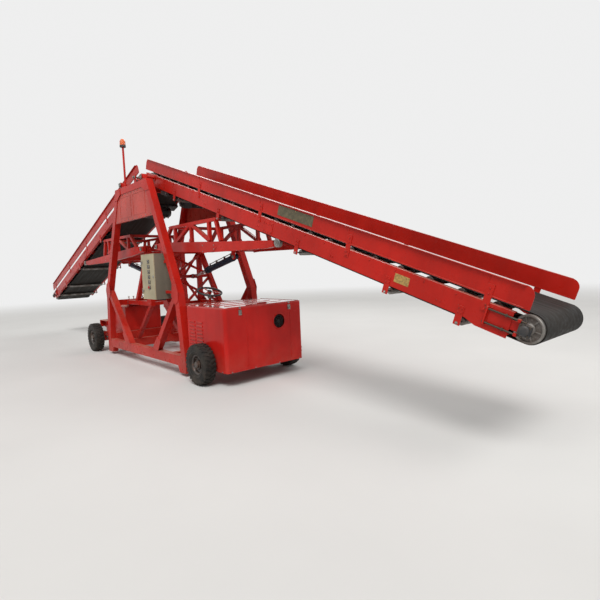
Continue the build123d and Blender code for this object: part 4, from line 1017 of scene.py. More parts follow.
for end, way in ENDS:
    dress(frame_enamel, "mast_" + end)
    keepers = bmesh.new()
    webs = bmesh.new()
    for hand in BOTH:
        head = outward(way * ARM_PIVOT.x, PIN_FACE, ARM_PIVOT.z, hand)
        add_pin(keepers, head, 0.034, 0.008, 0.016)
        for corners in MAST_WEBS:
            add_plate(webs, side_plane(way, hand), corners, *WEB_FACES, WELD_BEAD)
        for x in (0.290, 0.345, 1.230, 1.280):
            add_bolt(keepers, outward(way * x, 0.346, 0.940, hand), 0.012)
        add_pin(keepers, outward(way * EYE_IN.x, LUG_FACE, EYE_IN.z, hand), 0.024, 0.009, 0.012)
    keep_piece(f"mast_keepers_{end}", keepers, "chassis", zinc_steel, 0.0008)
    keep_piece(f"mast_webs_{end}", webs, "chassis", frame_enamel)


# The lifting arms: tapered box beams under a truss of square tube. Doubler plates stiffen the
# pivots, a thin fork holds the tip roller, and the weld beads stand round the truss's feet.
TIP = Vector((3.29710, 0.0, 1.73815))
ARM_FACE = 0.430
DOUBLER_T = 0.006
TRUSS_FOOT = ((0.780, 2.127), (0.900, 1.905), (1.380, 1.895), (1.860, 1.880), (2.030, 2.127))
# doubler: corners as x and height, on both arms of both ends
DOUBLERS = (
    ((0.400, 1.832), (0.400, 1.908), (0.560, 1.905), (0.640, 1.870), (0.560, 1.835)),
    ((1.690, 1.700), (1.690, 1.830), (1.990, 1.815), (2.060, 1.760), (1.990, 1.712)),
)
DOUBLER_BOLTS = (
    (0.590, 1.853), (0.590, 1.887), (1.720, 1.725), (1.720, 1.805), (2.000, 1.740), (2.000, 1.790)
)
arm_worn = turned_steel("arm_worn", (0.40, 0.39, 0.37, 1.0), 0.6, 0.42)
for end, way in ENDS:
    arm_enamel = sprayed_enamel("arm_enamel_" + end, FRAME_VERMILION, 0.5, gloss=0.3)
    dress(arm_enamel, "lifting_arm_" + end)
    dress(arm_worn, "arm_rollers_" + end)
    doublers = bmesh.new()
    fittings = bmesh.new()
    for hand in BOTH:
        face = side_plane(way, hand)
        for corners in DOUBLERS:
            faces = (ARM_FACE - 0.0005, ARM_FACE + DOUBLER_T)
            add_plate(doublers, face, corners, *faces, WELD_BEAD)
        for x, z in TRUSS_FOOT:
            foot = ((-0.050, -0.014), (0.050, -0.014), (0.024, 0.030), (-0.024, 0.030))
            corners = [(x + a, z + b) for a, b in foot]
            if z > 2.0:
                corners = [(x + a, z - b) for a, b in foot][::-1]
            add_plate(doublers, face, corners, 0.4220, 0.4275, 0.0015)
        nut = outward(way * TIP.x, 0.4362, TIP.z, hand)
        add_round(fittings, nut, (0.026, 0.0, 0.004, 24))
        add_bolt(fittings, nut @ moved(0, 0, 0.003), 0.020)
        pin = outward(way * EYE_OUT.x, LUG_FACE, EYE_OUT.z, hand)
        add_pin(fittings, pin, 0.024, 0.009, 0.012)
        for x, z in DOUBLER_BOLTS:
            add_bolt(fittings, outward(way * x, ARM_FACE + DOUBLER_T, z, hand), 0.010)
    keep_piece(f"arm_doublers_{end}", doublers, "arm_" + end, arm_enamel)
    keep_piece(f"arm_ends_{end}", fittings, "arm_" + end, zinc_steel, 0.0008)


# The hydraulic cylinders: drawn tube in dark blue enamel, oily round the gland, with two oil
# ports joined by a rigid steel pipe along the barrel. The rod is hard chrome.
CYLINDER_BLUE = (0.012, 0.022, 0.045, 1.0)
BARREL_R = 0.045
PORTS_AT = (0.105, 0.690)
CLAMPS_AT = (0.28, 0.50)
# ring round the barrel: radius and place along it
BARREL_RINGS = (
    ((0.043, 0.062), (0.0485, 0.066), (0.0485, 0.072), (0.043, 0.076)),
    ((0.0455, 0.725), (0.0530, 0.728), (0.0530, 0.738), (0.0455, 0.741)),
    ((0.0262, 0.800), (0.046, 0.800), (0.046, 0.808), (0.034, 0.812), (0.032, 0.824),
     (0.0262, 0.826)),
)
cylinder_paint = sprayed_enamel("cylinder_paint", CYLINDER_BLUE, 0.35, gloss=0.24)
hard_chrome = mottled(
    "hard_chrome", 0.10, (14.0, 6.0, 0.7), (0.44, 0.72),
    ((0.66, 0.67, 0.69, 1.0), (0.42, 0.38, 0.32, 1.0)), (0.08, 0.30), (90.0, 2.0, 0.0002, 0.2),
    metallic=1.0,
)
for end, way in ENDS:
    dress(cylinder_paint, "cylinder_barrel_" + end)
    dress(hard_chrome, "cylinder_rod_" + end)
    aim = Vector((way * (EYE_IN.x - EYE_OUT.x), 0.0, EYE_IN.z - EYE_OUT.z)).normalized()
    across = Vector((0.0, 1.0, 0.0))
    above = aim.cross(across)
    if above.z < 0:
        above = -above
    turn = Matrix((above, across, aim)).transposed().to_4x4()
    axis = moved(way * EYE_OUT.x, 0.0, EYE_OUT.z) @ turn
    rings = bmesh.new()
    for ring in BARREL_RINGS:
        add_ring(rings, axis, ring, 40)
    for along in PORTS_AT:
        port = axis @ moved(BARREL_R - 0.003, 0.0, along) @ turned(pi / 2, "Y")
        add_round(rings, port, (0.014, 0.0, 0.016, 20))
    body = "barrel_" + end
    keep_piece(f"cylinder_rings_{end}", rings, body, cylinder_paint, 0.0008)
    pipes = bmesh.new()
    for along in PORTS_AT:
        port = axis @ moved(BARREL_R + 0.012, 0.0, along) @ turned(pi / 2, "Y")
        add_round(pipes, port, (0.0115, 0.0, 0.012, 6), (0.0075, 0.010, 0.020, 14))
    run = axis @ moved(BARREL_R + 0.026, 0.0, 0.0)
    add_round(pipes, run, (0.0062, 0.100, 0.694, 14))
    for along in PORTS_AT:
        add_round(pipes, run @ moved(0, 0, along), (0.0090, -0.010, 0.010, 14))
    for along in CLAMPS_AT:
        low = (BARREL_R - 0.002, -0.012, along - 0.010)
        add_block(pipes, low, (BARREL_R + 0.034, 0.012, along + 0.010), axis)
    keep_piece(f"cylinder_pipes_{end}", pipes, body, zinc_steel, 0.0006)


# The rails over the axles: two rectangular tubes from the tower to a cross piece. Clips round
# the axles and bolts through the ends hold them, and open tube ends have black caps.
RAIL_Y = 0.330
RAIL_TOP = 0.3883
RAIL_FOOT = 0.3103
WHEEL_X = 2.000
dress(frame_enamel, "subframe_front", "subframe_rear", "rear_axle", "front_axle")
clips = bmesh.new()
for way in BOTH:
    for hand in BOTH:
        for step in (-0.048, 0.048):
            for across in (-0.036, 0.036):
                rod = moved(way * WHEEL_X + step, hand * RAIL_Y + across, 0.0)
                add_round(clips, rod, (0.0065, 0.214, RAIL_FOOT + 0.0002, 12))
                add_round(clips, rod, (0.0125, 0.205, 0.215, 6))
        saddle = moved(way * WHEEL_X, hand * RAIL_Y, 0)
        add_block(clips, (-0.062, -0.050, 0.218), (0.062, 0.050, 0.2298), saddle)
keep_piece("axle_clips", clips, "chassis", zinc_steel, 0.0008)
end_caps = bmesh.new()
for end, way in ENDS:
    low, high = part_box("subframe_" + end)
    far = max(abs(low.x), abs(high.x))
    for hand in BOTH:
        corner = (way * far, -0.027, RAIL_FOOT + 0.004)
        outer = (way * (far + 0.003), 0.027, RAIL_TOP - 0.004)
        add_block(end_caps, corner, outer, moved(0, hand * RAIL_Y, 0))
keep_piece("rail_caps", end_caps, "chassis", moulded_black, 0.001)


# The power box: folded sheet steel in vermilion enamel, with pressed louvres in its sides, a
# beaded rim round the air hole and a rolled flange along the bottom edge.
BOX_RED = (0.50, 0.010, 0.007, 1.0)
HOLE_R = 0.095
GUARD_WIRE = 0.0015
LOUVRE_FOOT = 0.50
LOUVRE_PITCH = 0.048
HINGES_AT = (-0.441, 0.0, 0.441)
CATCHES_AT = (-0.40, 0.40)
box_low = Vector((-2.470, -0.630, 0.185))
box_high = Vector((-1.500, 0.630, 0.980))
hole = Vector((box_low.x, -0.220, 0.753))
flange_foot = box_low.z + 0.001
flange_head = box_low.z + 0.022
# the flange is open where the axle passes under the box
flange_runs = ((box_low.x + 0.045, -WHEEL_X - 0.068), (-WHEEL_X + 0.068, box_high.x - 0.045))
box_enamel = sprayed_enamel("box_enamel", BOX_RED, 0.3, gloss=0.14)
dress(box_enamel, "power_box")
box_trim = bmesh.new()
hole_rim = (
    (HOLE_R - 0.003, -0.002), (HOLE_R - 0.003, 0.006), (HOLE_R + 0.002, 0.009),
    (HOLE_R + 0.016, 0.006), (HOLE_R + 0.018, -0.001),
)
add_ring(box_trim, facing(hole, (-1, 0, 0)), hole_rim, 56)
for hand in BOTH:
    tipped = turned(-hand * 0.42, "X")
    for bank in (-1.86, -1.665):
        for level in range(7):
            louvre = moved(bank, hand * box_high.y, LOUVRE_FOOT + LOUVRE_PITCH * level) @ tipped
            corner = (-0.075, -hand * 0.004, -0.014)
            add_block(box_trim, corner, (0.075, hand * 0.009, 0.012), louvre)
    for start, stop in flange_runs:
        corner = (start, hand * (box_high.y - 0.001), flange_foot)
        add_block(box_trim, corner, (stop, hand * (box_high.y + 0.004), flange_head))
corner = (box_low.x - 0.004, box_low.y + 0.045, flange_foot)
add_block(box_trim, corner, (box_low.x + 0.001, box_high.y - 0.045, flange_head))
for y in (-0.42, 0.30):
    corner = (box_low.x - 0.0035, y - 0.006, box_low.z + 0.05)
    add_block(box_trim, corner, (box_low.x + 0.001, y + 0.006, box_high.z - 0.06))
keep_piece("box_trim", box_trim, "chassis", box_enamel, 0.0022)
fan_guard = bmesh.new()
guard = facing(hole + Vector((0.006, 0, 0)), (-1, 0, 0))
for radius in (0.024, 0.048, 0.072):
    near, far = radius - GUARD_WIRE, radius + GUARD_WIRE
    hoop = ((near, -GUARD_WIRE), (far, -GUARD_WIRE), (far, GUARD_WIRE), (near, GUARD_WIRE))
    add_ring(fan_guard, guard, hoop, 40)
for turn in range(4):
    bar = guard @ turned(turn * pi / 4 + 0.2) @ turned(pi / 2, "Y")
    add_round(fan_guard, bar, (0.0017, -HOLE_R - 0.001, HOLE_R + 0.001, 8))
keep_piece("fan_guard", fan_guard, "chassis", moulded_black)
box_bolts = bmesh.new()
bolt_z = box_low.z + 0.012
for y in (-0.56, -0.20, 0.20, 0.56):
    add_bolt(box_bolts, facing((box_low.x - 0.004, y, bolt_z), (-1, 0, 0)), 0.010)
for hand in BOTH:
    for x in (box_low.x + 0.10, box_low.x + 0.34, box_high.x - 0.30, box_high.x - 0.08):
        add_bolt(box_bolts, outward(x, box_high.y + 0.004, bolt_z, hand), 0.010)
for y in CATCHES_AT:
    catch = moved(box_low.x, y, box_high.z)
    add_block(box_bolts, (-0.010, -0.022, -0.085), (0.0, 0.022, -0.020), catch)
    add_round(box_bolts, catch @ facing((-0.013, 0, -0.055), (0, 1, 0)), (0.006, -0.019, 0.019, 14))
for y in HINGES_AT:
    for step in (-0.033, 0.033):
        bolt = facing((box_high.x + 0.007, y + step, box_high.z - 0.040), (1, 0, 0))
        add_bolt(box_bolts, bolt, 0.009)
keep_piece("box_fixings", box_bolts, "chassis", zinc_steel, 0.0008)


# The lid: a shallow tray of the same sheet, stiffened by pressed beads and hung on three
# barrel hinges at the tower's side, with hooks for the two catches.
lid_low = Vector((-2.4685, -0.630, 0.9803))
lid_high = Vector((-1.5015, 0.630, 0.9983))
lid_enamel = sprayed_enamel("lid_enamel", BOX_RED, 0.40, gloss=0.08)
shine = {"Coat Weight": 0.9, "Coat Roughness": 0.05}
wire(lid_enamel.node_tree, lid_enamel.node_tree.nodes["Principled BSDF"], shine)
dress(lid_enamel, "box_lid")
lid_trim = bmesh.new()
flattened = Matrix.Diagonal((1.0, 1.0, 0.34, 1.0))
for step in range(3):
    bead = moved(lid_low.x + 0.24 + 0.245 * step, 0.0, lid_high.z) @ flattened
    add_round(lid_trim, bead @ turned(pi / 2, "X"), (0.020, -0.46, 0.46, 20))
rim_y = lid_high.y - 0.012
for hand in BOTH:
    corner = (lid_low.x + 0.05, hand * (rim_y - 0.004), lid_high.z - 0.002)
    add_block(lid_trim, corner, (lid_high.x - 0.05, hand * (rim_y + 0.010), lid_high.z + 0.004))
for x in (lid_low.x + 0.006, lid_high.x - 0.012):
    corner = (x, -rim_y + 0.04, lid_high.z - 0.002)
    add_block(lid_trim, corner, (x + 0.008, rim_y - 0.04, lid_high.z + 0.004))
keep_piece("lid_trim", lid_trim, "lid", lid_enamel, 0.0015)
lid_fixings = bmesh.new()
for y in HINGES_AT:
    leaf = moved(box_high.x, y, lid_high.z)
    add_block(lid_fixings, (-0.046, -0.020, -0.001), (-0.0015, 0.020, 0.0018), leaf)
    for x, across in ((-0.038, 0.010), (-0.018, -0.010)):
        add_bolt(lid_fixings, leaf @ moved(x, across, 0.0017), 0.007)
for y in CATCHES_AT:
    hook = moved(lid_low.x, y, lid_low.z)
    add_block(lid_fixings, (-0.006, -0.014, -0.004), (0.0005, 0.014, 0.016), hook)
keep_piece("lid_fixings", lid_fixings, "lid", zinc_steel, 0.0006)


# The power unit inside the box: a small engine's cast block with its head, cooling fan cover,
# filters and oil pump, seen only with the lid up.
AIR_CLEANER = (
    (0.0, 0.0), (0.075, 0.0), (0.080, 0.012), (0.080, 0.085), (0.070, 0.098), (0.0, 0.098)
)
OIL_FILTER = ((0.0, 0.0), (0.046, 0.0), (0.046, 0.088), (0.040, 0.096), (0.0, 0.096))
OIL_PUMP = ((0.0, 0.0), (0.070, 0.0), (0.070, 0.012), (0.052, 0.016), (0.052, 0.085), (0.0, 0.090))
FAN_COVER = (
    (0.0, 0.0), (0.165, 0.0), (0.175, 0.010), (0.175, 0.045), (0.150, 0.062), (0.060, 0.062),
    (0.050, 0.050), (0.0, 0.050),
)
engine_low, engine_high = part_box("engine_block")
mid_x = (engine_low.x + engine_high.x) / 2
top = engine_high.z
dress(cast_iron, "engine_block")
engine = bmesh.new()
for step in range(9):
    z = top + 0.004 + 0.011 * step
    add_block(engine, (mid_x - 0.15, -0.12, z), (mid_x + 0.10, 0.14, z + 0.004))
add_block(engine, (mid_x - 0.135, -0.105, top), (mid_x + 0.085, 0.125, top + 0.10))
add_lathe(engine, moved(mid_x + 0.19, 0.05, top), AIR_CLEANER, 40)
add_lathe(engine, facing((mid_x + 0.02, -0.300, top - 0.10), (0, -1, 0)), OIL_FILTER, 36)
add_lathe(engine, facing((engine_high.x, 0.08, top - 0.16), (1, 0, 0)), OIL_PUMP, 36)
add_lathe(engine, facing((engine_low.x, 0.0, top - 0.18), (-1, 0, 0)), FAN_COVER, 48)
keep_piece("engine_fittings", engine, "chassis", cast_iron, 0.0025)


# The oil tank: a welded box in the frame's enamel with a screwed filler cap and breather on its
# top, a sight glass on its side, a drain plug, and straps over the rails.
TANK_TOP = 0.840
STRAP_HALF = 0.022
BREATHER = (
    (0.0, 0.0), (0.018, 0.0), (0.018, 0.012), (0.034, 0.018), (0.034, 0.046), (0.026, 0.054),
    (0.0, 0.056),
)
tank_low, tank_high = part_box("oil_tank")
tank_enamel = sprayed_enamel("tank_enamel", FRAME_VERMILION, 0.7, gloss=0.28)
dress(tank_enamel, "oil_tank", "valve_bank")
straps = bmesh.new()
for x in (tank_low.x + 0.19, tank_high.x - 0.20):
    near, far = x - STRAP_HALF, x + STRAP_HALF
    for hand in BOTH:
        corner = (near, hand * (tank_high.y - 0.001), RAIL_TOP + 0.002)
        add_block(straps, corner, (far, hand * (tank_high.y + 0.005), TANK_TOP + 0.001))
    corner = (near, -tank_high.y - 0.005, TANK_TOP - 0.001)
    add_block(straps, corner, (far, tank_high.y + 0.005, TANK_TOP + 0.005))
keep_piece("tank_straps", straps, "chassis", tank_enamel, 0.0015)
tank_fittings = bmesh.new()
filler = moved(tank_high.x - 0.150, -0.180, TANK_TOP)
flange = ((0.0425, 0.0), (0.062, 0.0), (0.062, 0.005), (0.0425, 0.007))
add_ring(tank_fittings, filler, flange, 36)
ring_bolts(tank_fittings, filler, 6, 0.052, 0.005, 0.007)
for turn in range(24):
    grip = filler @ turned(turn * pi / 12)
    add_block(tank_fittings, (0.0405, -0.0025, 0.010), (0.0450, 0.0025, 0.040), grip)
add_lathe(tank_fittings, moved(tank_high.x - 0.15, 0.10, TANK_TOP), BREATHER, 28)
add_bolt(tank_fittings, facing((tank_high.x, 0.20, RAIL_TOP + 0.04), (1, 0, 0)), 0.022)
gauge = moved(tank_high.x, -0.22, 0.62)
for z in (-0.085, 0.085):
    add_block(tank_fittings, (0.0, -0.013, z - 0.012), (0.014, 0.013, z + 0.012), gauge)
    add_bolt(tank_fittings, gauge @ facing((0.014, 0, z), (1, 0, 0)), 0.008)
add_block(tank_fittings, (0.0, -0.011, -0.080), (0.003, 0.011, 0.080), gauge)
keep_piece("tank_fittings", tank_fittings, "chassis", zinc_steel, 0.0006)
gauge_glass = mottled(
    "gauge_glass", 0.08, (30.0, 4.0), (0.3, 0.7),
    ((0.22, 0.12, 0.020, 1.0), (0.34, 0.20, 0.04, 1.0)), None, (60.0, 2.0, 0.0003, 0.2), coat=0.8,
)
glass = bmesh.new()
add_round(glass, gauge @ moved(0.008, 0, 0), (0.007, -0.074, 0.074, 20))
keep_piece("gauge_glass", glass, "chassis", gauge_glass)


# The valve bank: six cast spool valves bolted side by side on the tank, each with a spring cap,
# two ports with union nuts and short steel pipes, and a lever with a pale knob.
VALVE_X = 0.075
VALVE_PITCH = 0.090
KNOB_BALL = (
    (0.0, -0.016), (0.008, -0.0145), (0.0142, -0.008), (0.0165, 0.0), (0.0142, 0.009),
    (0.008, 0.0150), (0.0, 0.0168),
)
SPRING_CAP = ((0.0, 0.0), (0.019, 0.0), (0.019, 0.022), (0.015, 0.028), (0.0, 0.028))
knob_ivory = mottled(
    "knob_ivory", 0.28, (60.0, 5.0, 0.65), (0.40, 0.72),
    ((0.62, 0.58, 0.48, 1.0), (0.33, 0.28, 0.20, 1.0)), None, (200.0, 2.0, 0.0003, 0.3), coat=0.3,
)
boot = [(0.0, 0.0)]
for fold in range(4):
    drawn, z = 0.0025 * fold, 0.008 * fold
    boot += [(0.019 - drawn, 0.003 + z), (0.014 - drawn, 0.007 + z)]
boot.append((0.0, 0.034))
valve_metal = bmesh.new()
valve_cast = bmesh.new()
knobs = bmesh.new()
for step in range(6):
    valve = moved(tank_low.x + VALVE_X, -0.225 + VALVE_PITCH * step, TANK_TOP)
    add_lathe(knobs, valve @ moved(0.035, 0, 0.1823), KNOB_BALL, 24)
    add_lathe(valve_cast, valve @ facing((-0.055, 0, 0.040), (-1, 0, 0)), SPRING_CAP, 24)
    add_lathe(valve_cast, valve @ moved(0.006, 0, 0.074), boot, 20)
    for across in (-0.012, 0.012):
        union = valve @ facing((0.055, across, 0.036), (1, 0, 0))
        add_round(valve_metal, union, (0.010, 0.0, 0.012, 6), (0.0045, 0.010, 0.032, 12))
        elbow = valve @ moved(0.085, across, 0)
        add_round(valve_metal, elbow, (0.0045, 0.001, 0.040, 12), (0.009, 0.0005, 0.010, 6))
    for across in (-0.016, 0.016):
        add_bolt(valve_metal, valve @ moved(-0.030, across, 0.0743), 0.008)
keep_piece("valve_pipes", valve_metal, "chassis", zinc_steel, 0.0005)
keep_piece("valve_caps", valve_cast, "chassis", moulded_black, 0.0005)
keep_piece("lever_knobs", knobs, "chassis", knob_ivory)


# The front step: folded chequer plate over the rails' ends, with a towing gusset welded under
# its edge, a pressed ring round the towing hole and bolts down into the rails.
LOZENGE_R = 0.012
LOZENGE_PITCH = 0.046
step_low, step_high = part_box("front_step")
step_enamel = sprayed_enamel("step_enamel", FRAME_VERMILION, 1.15, gloss=0.34)
dress(step_enamel, "front_step")
chequer = bmesh.new()
narrowed = Matrix.Diagonal((1.0, 0.36, 1.0, 1.0))
for row in range(8):
    for column in range(19):
        x = step_low.x + 0.036 + LOZENGE_PITCH * row
        y = -0.414 + LOZENGE_PITCH * column
        lean = pi / 4 if (row + column) % 2 else -pi / 4
        spot = moved(x, y, step_high.z) @ turned(lean) @ narrowed
        add_round(chequer, spot, (LOZENGE_R, -0.0004, 0.0022, 8, LOZENGE_R - 0.003))
keep_piece("step_chequer", chequer, "chassis", step_enamel)
tow_eye = bmesh.new()
tow_hole = facing((step_high.x - 0.008, 0.0, 0.320), (1, 0, 0))
for low in (0.0072, -0.0122):
    high = low + 0.005
    add_ring(tow_eye, tow_hole, ((0.0255, low), (0.041, low), (0.041, high), (0.0255, high)), 40)
for hand in BOTH:
    rib = moved(step_high.x - 0.0085, hand * 0.135, 0.0)
    add_block(tow_eye, (-0.075, -0.004, 0.4055), (0.0005, 0.004, 0.488), rib)
keep_piece("tow_eye", tow_eye, "chassis", step_enamel, 0.0015)
step_bolts = bmesh.new()
for hand in BOTH:
    for x in (step_low.x + 0.085, (step_low.x + step_high.x) / 2, step_high.x - 0.075):
        add_bolt(step_bolts, moved(x, hand * RAIL_Y, step_high.z + 0.001), 0.013)
    for y in (0.20, 0.40):
        add_bolt(step_bolts, facing((step_high.x, hand * y, 0.500), (1, 0, 0)), 0.012)
keep_piece("step_bolts", step_bolts, "chassis", zinc_steel, 0.0006)


# The steering wheel on its column at the rear: a steel ring sheathed in black moulding with
# finger grips below, a cap over its nut, a bearing collar and a foot bolted to the cross-beam.
STEER_X = -1.3503
STEER_Y = 0.150
STEER_Z = 1.1553
GRIP_R = 0.175
SHEATH_R = 0.0146
LUMPS = 48
NUT_COVER = (
    (0.0, 0.006), (0.030, 0.006), (0.033, 0.010), (0.029, 0.019), (0.014, 0.024), (0.0, 0.025)
)
COLLAR = (
    (0.0182, 1.060), (0.029, 1.060), (0.031, 1.066), (0.031, 1.092), (0.027, 1.100), (0.0182, 1.100)
)
dress(frame_enamel, "steering_gear")
tilted = moved(STEER_X, STEER_Y, STEER_Z) @ turned(radians(-18.0), "Y")
grip = bmesh.new()
round_way = [a * pi / 8 for a in range(17)]
sheath = [(GRIP_R + SHEATH_R * cos(a), SHEATH_R * sin(a)) for a in round_way]
add_lathe(grip, tilted, sheath, 96)
for step in range(LUMPS):
    lump = tilted @ turned(2 * pi * step / LUMPS) @ moved(GRIP_R, 0.0, -0.0085)
    bmesh.ops.create_uvsphere(grip, u_segments=10, v_segments=6, radius=0.0095, matrix=lump)
add_lathe(grip, tilted, NUT_COVER, 40)
keep_piece("steering_grip", grip, "chassis", moulded_black)
column = bmesh.new()
upright = moved(STEER_X, STEER_Y, 0.0)
add_ring(column, upright, COLLAR, 32)
corner_bolts(column, upright @ moved(0, 0, 1.0025), 0.024, 0.024, 0.010)
add_bolt(column, upright @ facing((-0.031, 0, 1.078), (-1, 0, 0)), 0.008)
keep_piece("steering_fittings", column, "chassis", zinc_steel, 0.0006)


# The travel motor below the rear beam on the left: a dark finned drum with its fan cowl at the
# inner end, a terminal box with a gland at its rear, and a ring of bolts through its flange.
TRAVEL_X = -1.150
TRAVEL_Z = 0.165
TRAVEL_FINS = 44
TRAVEL_COWL = (
    (0.0, 0.308), (0.060, 0.308), (0.088, 0.314), (0.094, 0.324), (0.094, 0.356), (0.0, 0.356)
)
dress(cast_iron, "travel_motor")
travel = bmesh.new()
slung = moved(TRAVEL_X, 0.0, TRAVEL_Z)
axle = slung @ facing((0, 0, 0), (0, 1, 0))
for step in range(TRAVEL_FINS):
    fin = axle @ turned(2 * pi * step / TRAVEL_FINS)
    add_block(travel, (0.083, -FIN_T / 2, 0.362), (0.096, FIN_T / 2, 0.492), fin)
add_lathe(travel, axle, TRAVEL_COWL, 44)
for radius in (0.020, 0.038, 0.056):
    near, far = radius - 0.003, radius + 0.003
    add_ring(travel, axle, ((near, 0.3068), (far, 0.3068), (far, 0.309), (near, 0.309)), 32)
add_block(travel, (-0.145, 0.380, -0.040), (-0.090, 0.480, 0.045), slung)
add_block(travel, (-0.150, 0.376, -0.044), (-0.143, 0.484, 0.049), slung)
keep_piece("travel_fins", travel, "chassis", cast_iron, 0.0012)
travel_bolts = bmesh.new()
ring_bolts(travel_bolts, axle, 8, 0.095, 0.525, 0.009, 0.5)
for y in (0.392, 0.468):
    for z in (-0.032, 0.036):
        add_bolt(travel_bolts, slung @ facing((-0.150, y, z), (-1, 0, 0)), 0.006)
gland = slung @ facing((-0.118, 0.380, 0.01), (0, -1, 0))
add_round(travel_bolts, gland, (0.011, 0.0, 0.012, 6), (0.008, 0.010, 0.022, 14))
keep_piece("travel_bolts", travel_bolts, "chassis", zinc_steel, 0.0005)


# The steering: cast knuckles on kingpins with dust rings and grease nipples, and a tie rod with
# lock nuts and castle nuts that joins the two steering arms.
KINGPIN_Y = 0.560
TIE_X = 1.865
TIE_Z = 0.272
PIN_DOME = ((0.0, 0.0), (0.021, 0.0), (0.021, 0.004), (0.014, 0.009), (0.0, 0.010))
TIE_SLEEVE = (
    (0.0, -0.080), (0.013, -0.080), (0.0165, -0.074), (0.0165, 0.074), (0.013, 0.080), (0.0, 0.080)
)
dress(frame_enamel, "knuckle_left", "knuckle_right")
dress(zinc_steel, "tie_rod")
pins = bmesh.new()
for hand in BOTH:
    pin = moved(WHEEL_X, hand * KINGPIN_Y, 0.0)
    add_lathe(pins, pin @ moved(0, 0, 0.363), PIN_DOME, 28)
    add_round(pins, pin, (0.0035, 0.372, 0.382, 8, 0.0025))
    for z, out in ((0.182, -1), (0.358, 1)):
        for x in (-0.024, 0.024):
            add_bolt(pins, pin @ facing((x, hand * 0.018, z), (0, 0, out)), 0.007)
keep_piece("kingpin_caps", pins, "chassis", zinc_steel, 0.0005)
for side, hand in SIDES:
    pin = moved(WHEEL_X, hand * KINGPIN_Y, 0.0)
    rings = bmesh.new()
    for z in (0.206, 0.322):
        band = ((0.0355, z), (0.0395, z + 0.001), (0.0395, z + 0.011), (0.0355, z + 0.012))
        add_ring(rings, pin, band, 36)
    add_block(rings, (-0.115, -0.004, 0.268), (-0.030, 0.004, 0.2855), pin)
    add_block(rings, (-0.128, -0.004, 0.3025), (-0.030, 0.004, 0.318), pin)
    keep_piece(f"knuckle_rings_{side}", rings, "steer_" + side, frame_enamel, 0.001)
tie = bmesh.new()
for hand in BOTH:
    eye = moved(TIE_X, hand * KINGPIN_Y, 0.0)
    add_round(tie, eye, (0.0125, 0.2438, 0.2548, 6), (0.0150, 0.2548, 0.2596, 20))
    lock = outward(TIE_X, 0.500, TIE_Z, hand)
    add_round(tie, lock, (0.0185, 0.0, 0.012, 6), (0.0140, 0.010, 0.045, 20))
add_lathe(tie, facing((TIE_X, 0.0, TIE_Z), (0, 1, 0)), TIE_SLEEVE, 20)
keep_piece("tie_nuts", tie, "tie", zinc_steel, 0.0005)


# The wheels: industrial tyres with slanted tread bars, dusty and scuffed, on dark welded rims
# with five nuts, a hub cap and an air valve.
WHEEL_Y = 0.725
TYRE_R = 0.270
TREAD_BARS = 28
WHEEL_DUST = (0.13, 0.098, 0.072, 1.0)
SIDEWALL = (
    (0.1156, 0.0515), (0.1295, 0.0515), (0.1320, 0.0580), (0.1400, 0.0690), (0.1520, 0.0765),
    (0.1640, 0.0792), (0.1660, 0.0808), (0.1690, 0.0808), (0.1710, 0.0796), (0.2020, 0.0796),
    (0.2035, 0.0806), (0.2055, 0.0806), (0.2070, 0.0794), (0.2260, 0.0785), (0.2440, 0.0735),
    (0.2520, 0.0660), (0.2560, 0.0500), (0.2575, 0.0100),
)
TREAD_RIB = ((0.2570, -0.0055), (0.2655, -0.0045), (0.2655, 0.0045), (0.2570, 0.0055))
RIM = (
    (0.0305, 0.050), (0.056, 0.050), (0.058, 0.047), (0.058, 0.008), (0.066, 0.003),
    (0.094, 0.010), (0.103, 0.018), (0.105, 0.046), (0.112, 0.056), (0.123, 0.0615),
    (0.1275, 0.0600), (0.1275, 0.0560), (0.1165, 0.0520), (0.1150, 0.0460), (0.1150, -0.0460),
    (0.1165, -0.0520), (0.1275, -0.0560), (0.1275, -0.0600), (0.123, -0.0615), (0.112, -0.056),
    (0.105, -0.046), (0.103, -0.004), (0.066, -0.012), (0.058, -0.016), (0.058, -0.075),
    (0.0305, -0.075),
)
HUB_CAP = (
    (0.0, 0.0430), (0.045, 0.0430), (0.046, 0.0480), (0.0425, 0.0680), (0.034, 0.0750),
    (0.0, 0.0765),
)
tyre_rubber, tree, shader = new_finish("tyre_rubber", 0.78, specular=0.20)
dust = ranged(tree, speckle(tree, 9.0, 7.0, 0.7), 0.38, 0.70)
scuff = ranged(tree, speckle(tree, 55.0, 5.0, 0.65), 0.45, 0.72)
near_floor = ranged(tree, axis_of(tree, own_place(tree), "Z"), 0.14, 0.0, 0.0, 0.45)
black = tinted(tree, scuff, (0.012, 0.0115, 0.011, 1.0), (0.030, 0.027, 0.024, 1.0))
dirt = worked(tree, "MULTIPLY", near_floor, dust)
dull = worked(tree, "ADD", worked(tree, "MULTIPLY", dust, 0.26), dirt)
wire(tree, shader, {
    "Base Color": tinted(tree, dull, black, WHEEL_DUST),
    "Roughness": ranged(tree, scuff, 0.0, 1.0, 0.55, 0.9),
})
raised(tree, shader, speckle(tree, 140.0, 4.0, 0.6), 0.0012, 0.5)
rim_paint, tree, shader = new_finish("rim_paint", 0.42, coat=0.15)
rust = ranged(tree, speckle(tree, 16.0, 7.0, 0.7), 0.50, 0.70)
dust = worked(tree, "MULTIPLY", ranged(tree, speckle(tree, 7.0, 6.0), 0.35, 0.75), 0.35)
paint = tinted(tree, rust, (0.030, 0.021, 0.018, 1.0), (0.105, 0.042, 0.020, 1.0))
wire(tree, shader, {
    "Base Color": tinted(tree, dust, paint, WHEEL_DUST),
    "Roughness": ranged(tree, rust, 0.0, 1.0, 0.36, 0.85),
})
raised(tree, shader, speckle(tree, 110.0, 4.0), 0.0010, 0.4)


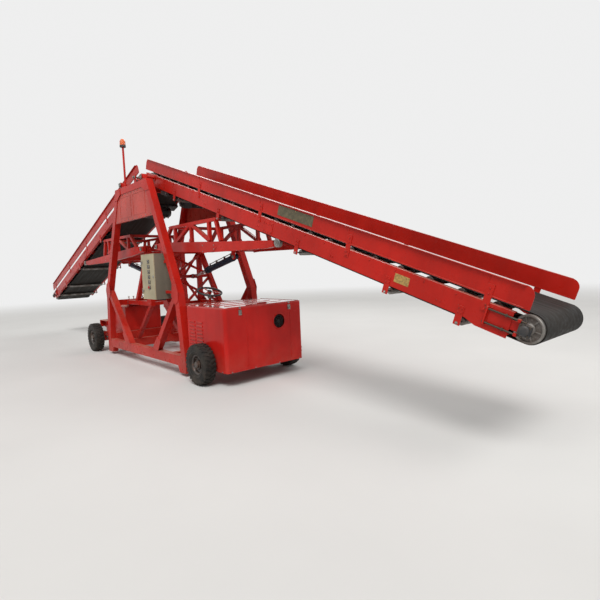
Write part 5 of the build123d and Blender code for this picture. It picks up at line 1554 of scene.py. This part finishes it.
def add_bar(made, spot, hand):
    """One bar of the tread, slanting back towards the shoulder and dropping with it."""
    for vert in bmesh.ops.create_cube(made, size=1.0)["verts"]:
        outer = vert.co.y > 0
        top = vert.co.z > 0
        along = (0.0135 if top else 0.0175) * (1 if vert.co.x > 0 else -1)
        along += 0.024 if outer else 0.0
        reach = (0.0735 if top else 0.0770) if outer else 0.0075
        radius = (0.2612 if outer else 0.2690) if top else (0.2420 if outer else 0.2550)
        vert.co = spot @ Vector((along, hand * reach, radius))


for end, way in ENDS:
    for side, hand in SIDES:
        body = f"wheel_{end}_{side}"
        hub = moved(way * WHEEL_X, hand * WHEEL_Y, TYRE_R)
        spin = hub @ facing((0, 0, 0), (0, hand, 0))
        tyre = bmesh.new()
        add_ring(tyre, spin, (*SIDEWALL, *((r, -y) for r, y in reversed(SIDEWALL))), 96)
        add_ring(tyre, spin, TREAD_RIB, 96)
        for step in range(2 * TREAD_BARS):
            add_bar(tyre, hub @ turned(pi * step / TREAD_BARS, "Y"), 1 if step % 2 else -1)
        tread = keep_piece(f"tread_{end}_{side}", tyre, body, tyre_rubber, 0.0015)
        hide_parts(f"tyre_{end}_{side}")
        rim = bmesh.new()
        add_ring(rim, spin, RIM, 72)
        add_lathe(rim, spin, HUB_CAP, 44)
        disc = keep_piece(f"wheel_disc_{end}_{side}", rim, body, rim_paint)
        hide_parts(f"rim_{end}_{side}")
        nuts = bmesh.new()
        for turn in range(5):
            nut = spin @ turned(2 * pi * turn / 5 + 0.3) @ moved(0.0815, 0.0, 0.0065)
            add_round(nuts, nut, (0.0135, 0.0, 0.0025, 20), (0.0105, 0.0025, 0.0125, 6))
            add_round(nuts, nut, (0.0060, 0.0120, 0.0190, 12))
        valve = spin @ turned(2.1) @ moved(0.099, 0.0, 0.014) @ turned(-0.35, "Y")
        add_round(nuts, valve, (0.0042, 0.0, 0.022, 12), (0.0050, 0.020, 0.032, 12))
        keep_piece(f"wheel_nuts_{end}_{side}", nuts, body, zinc_steel, 0.0004)


low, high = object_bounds()
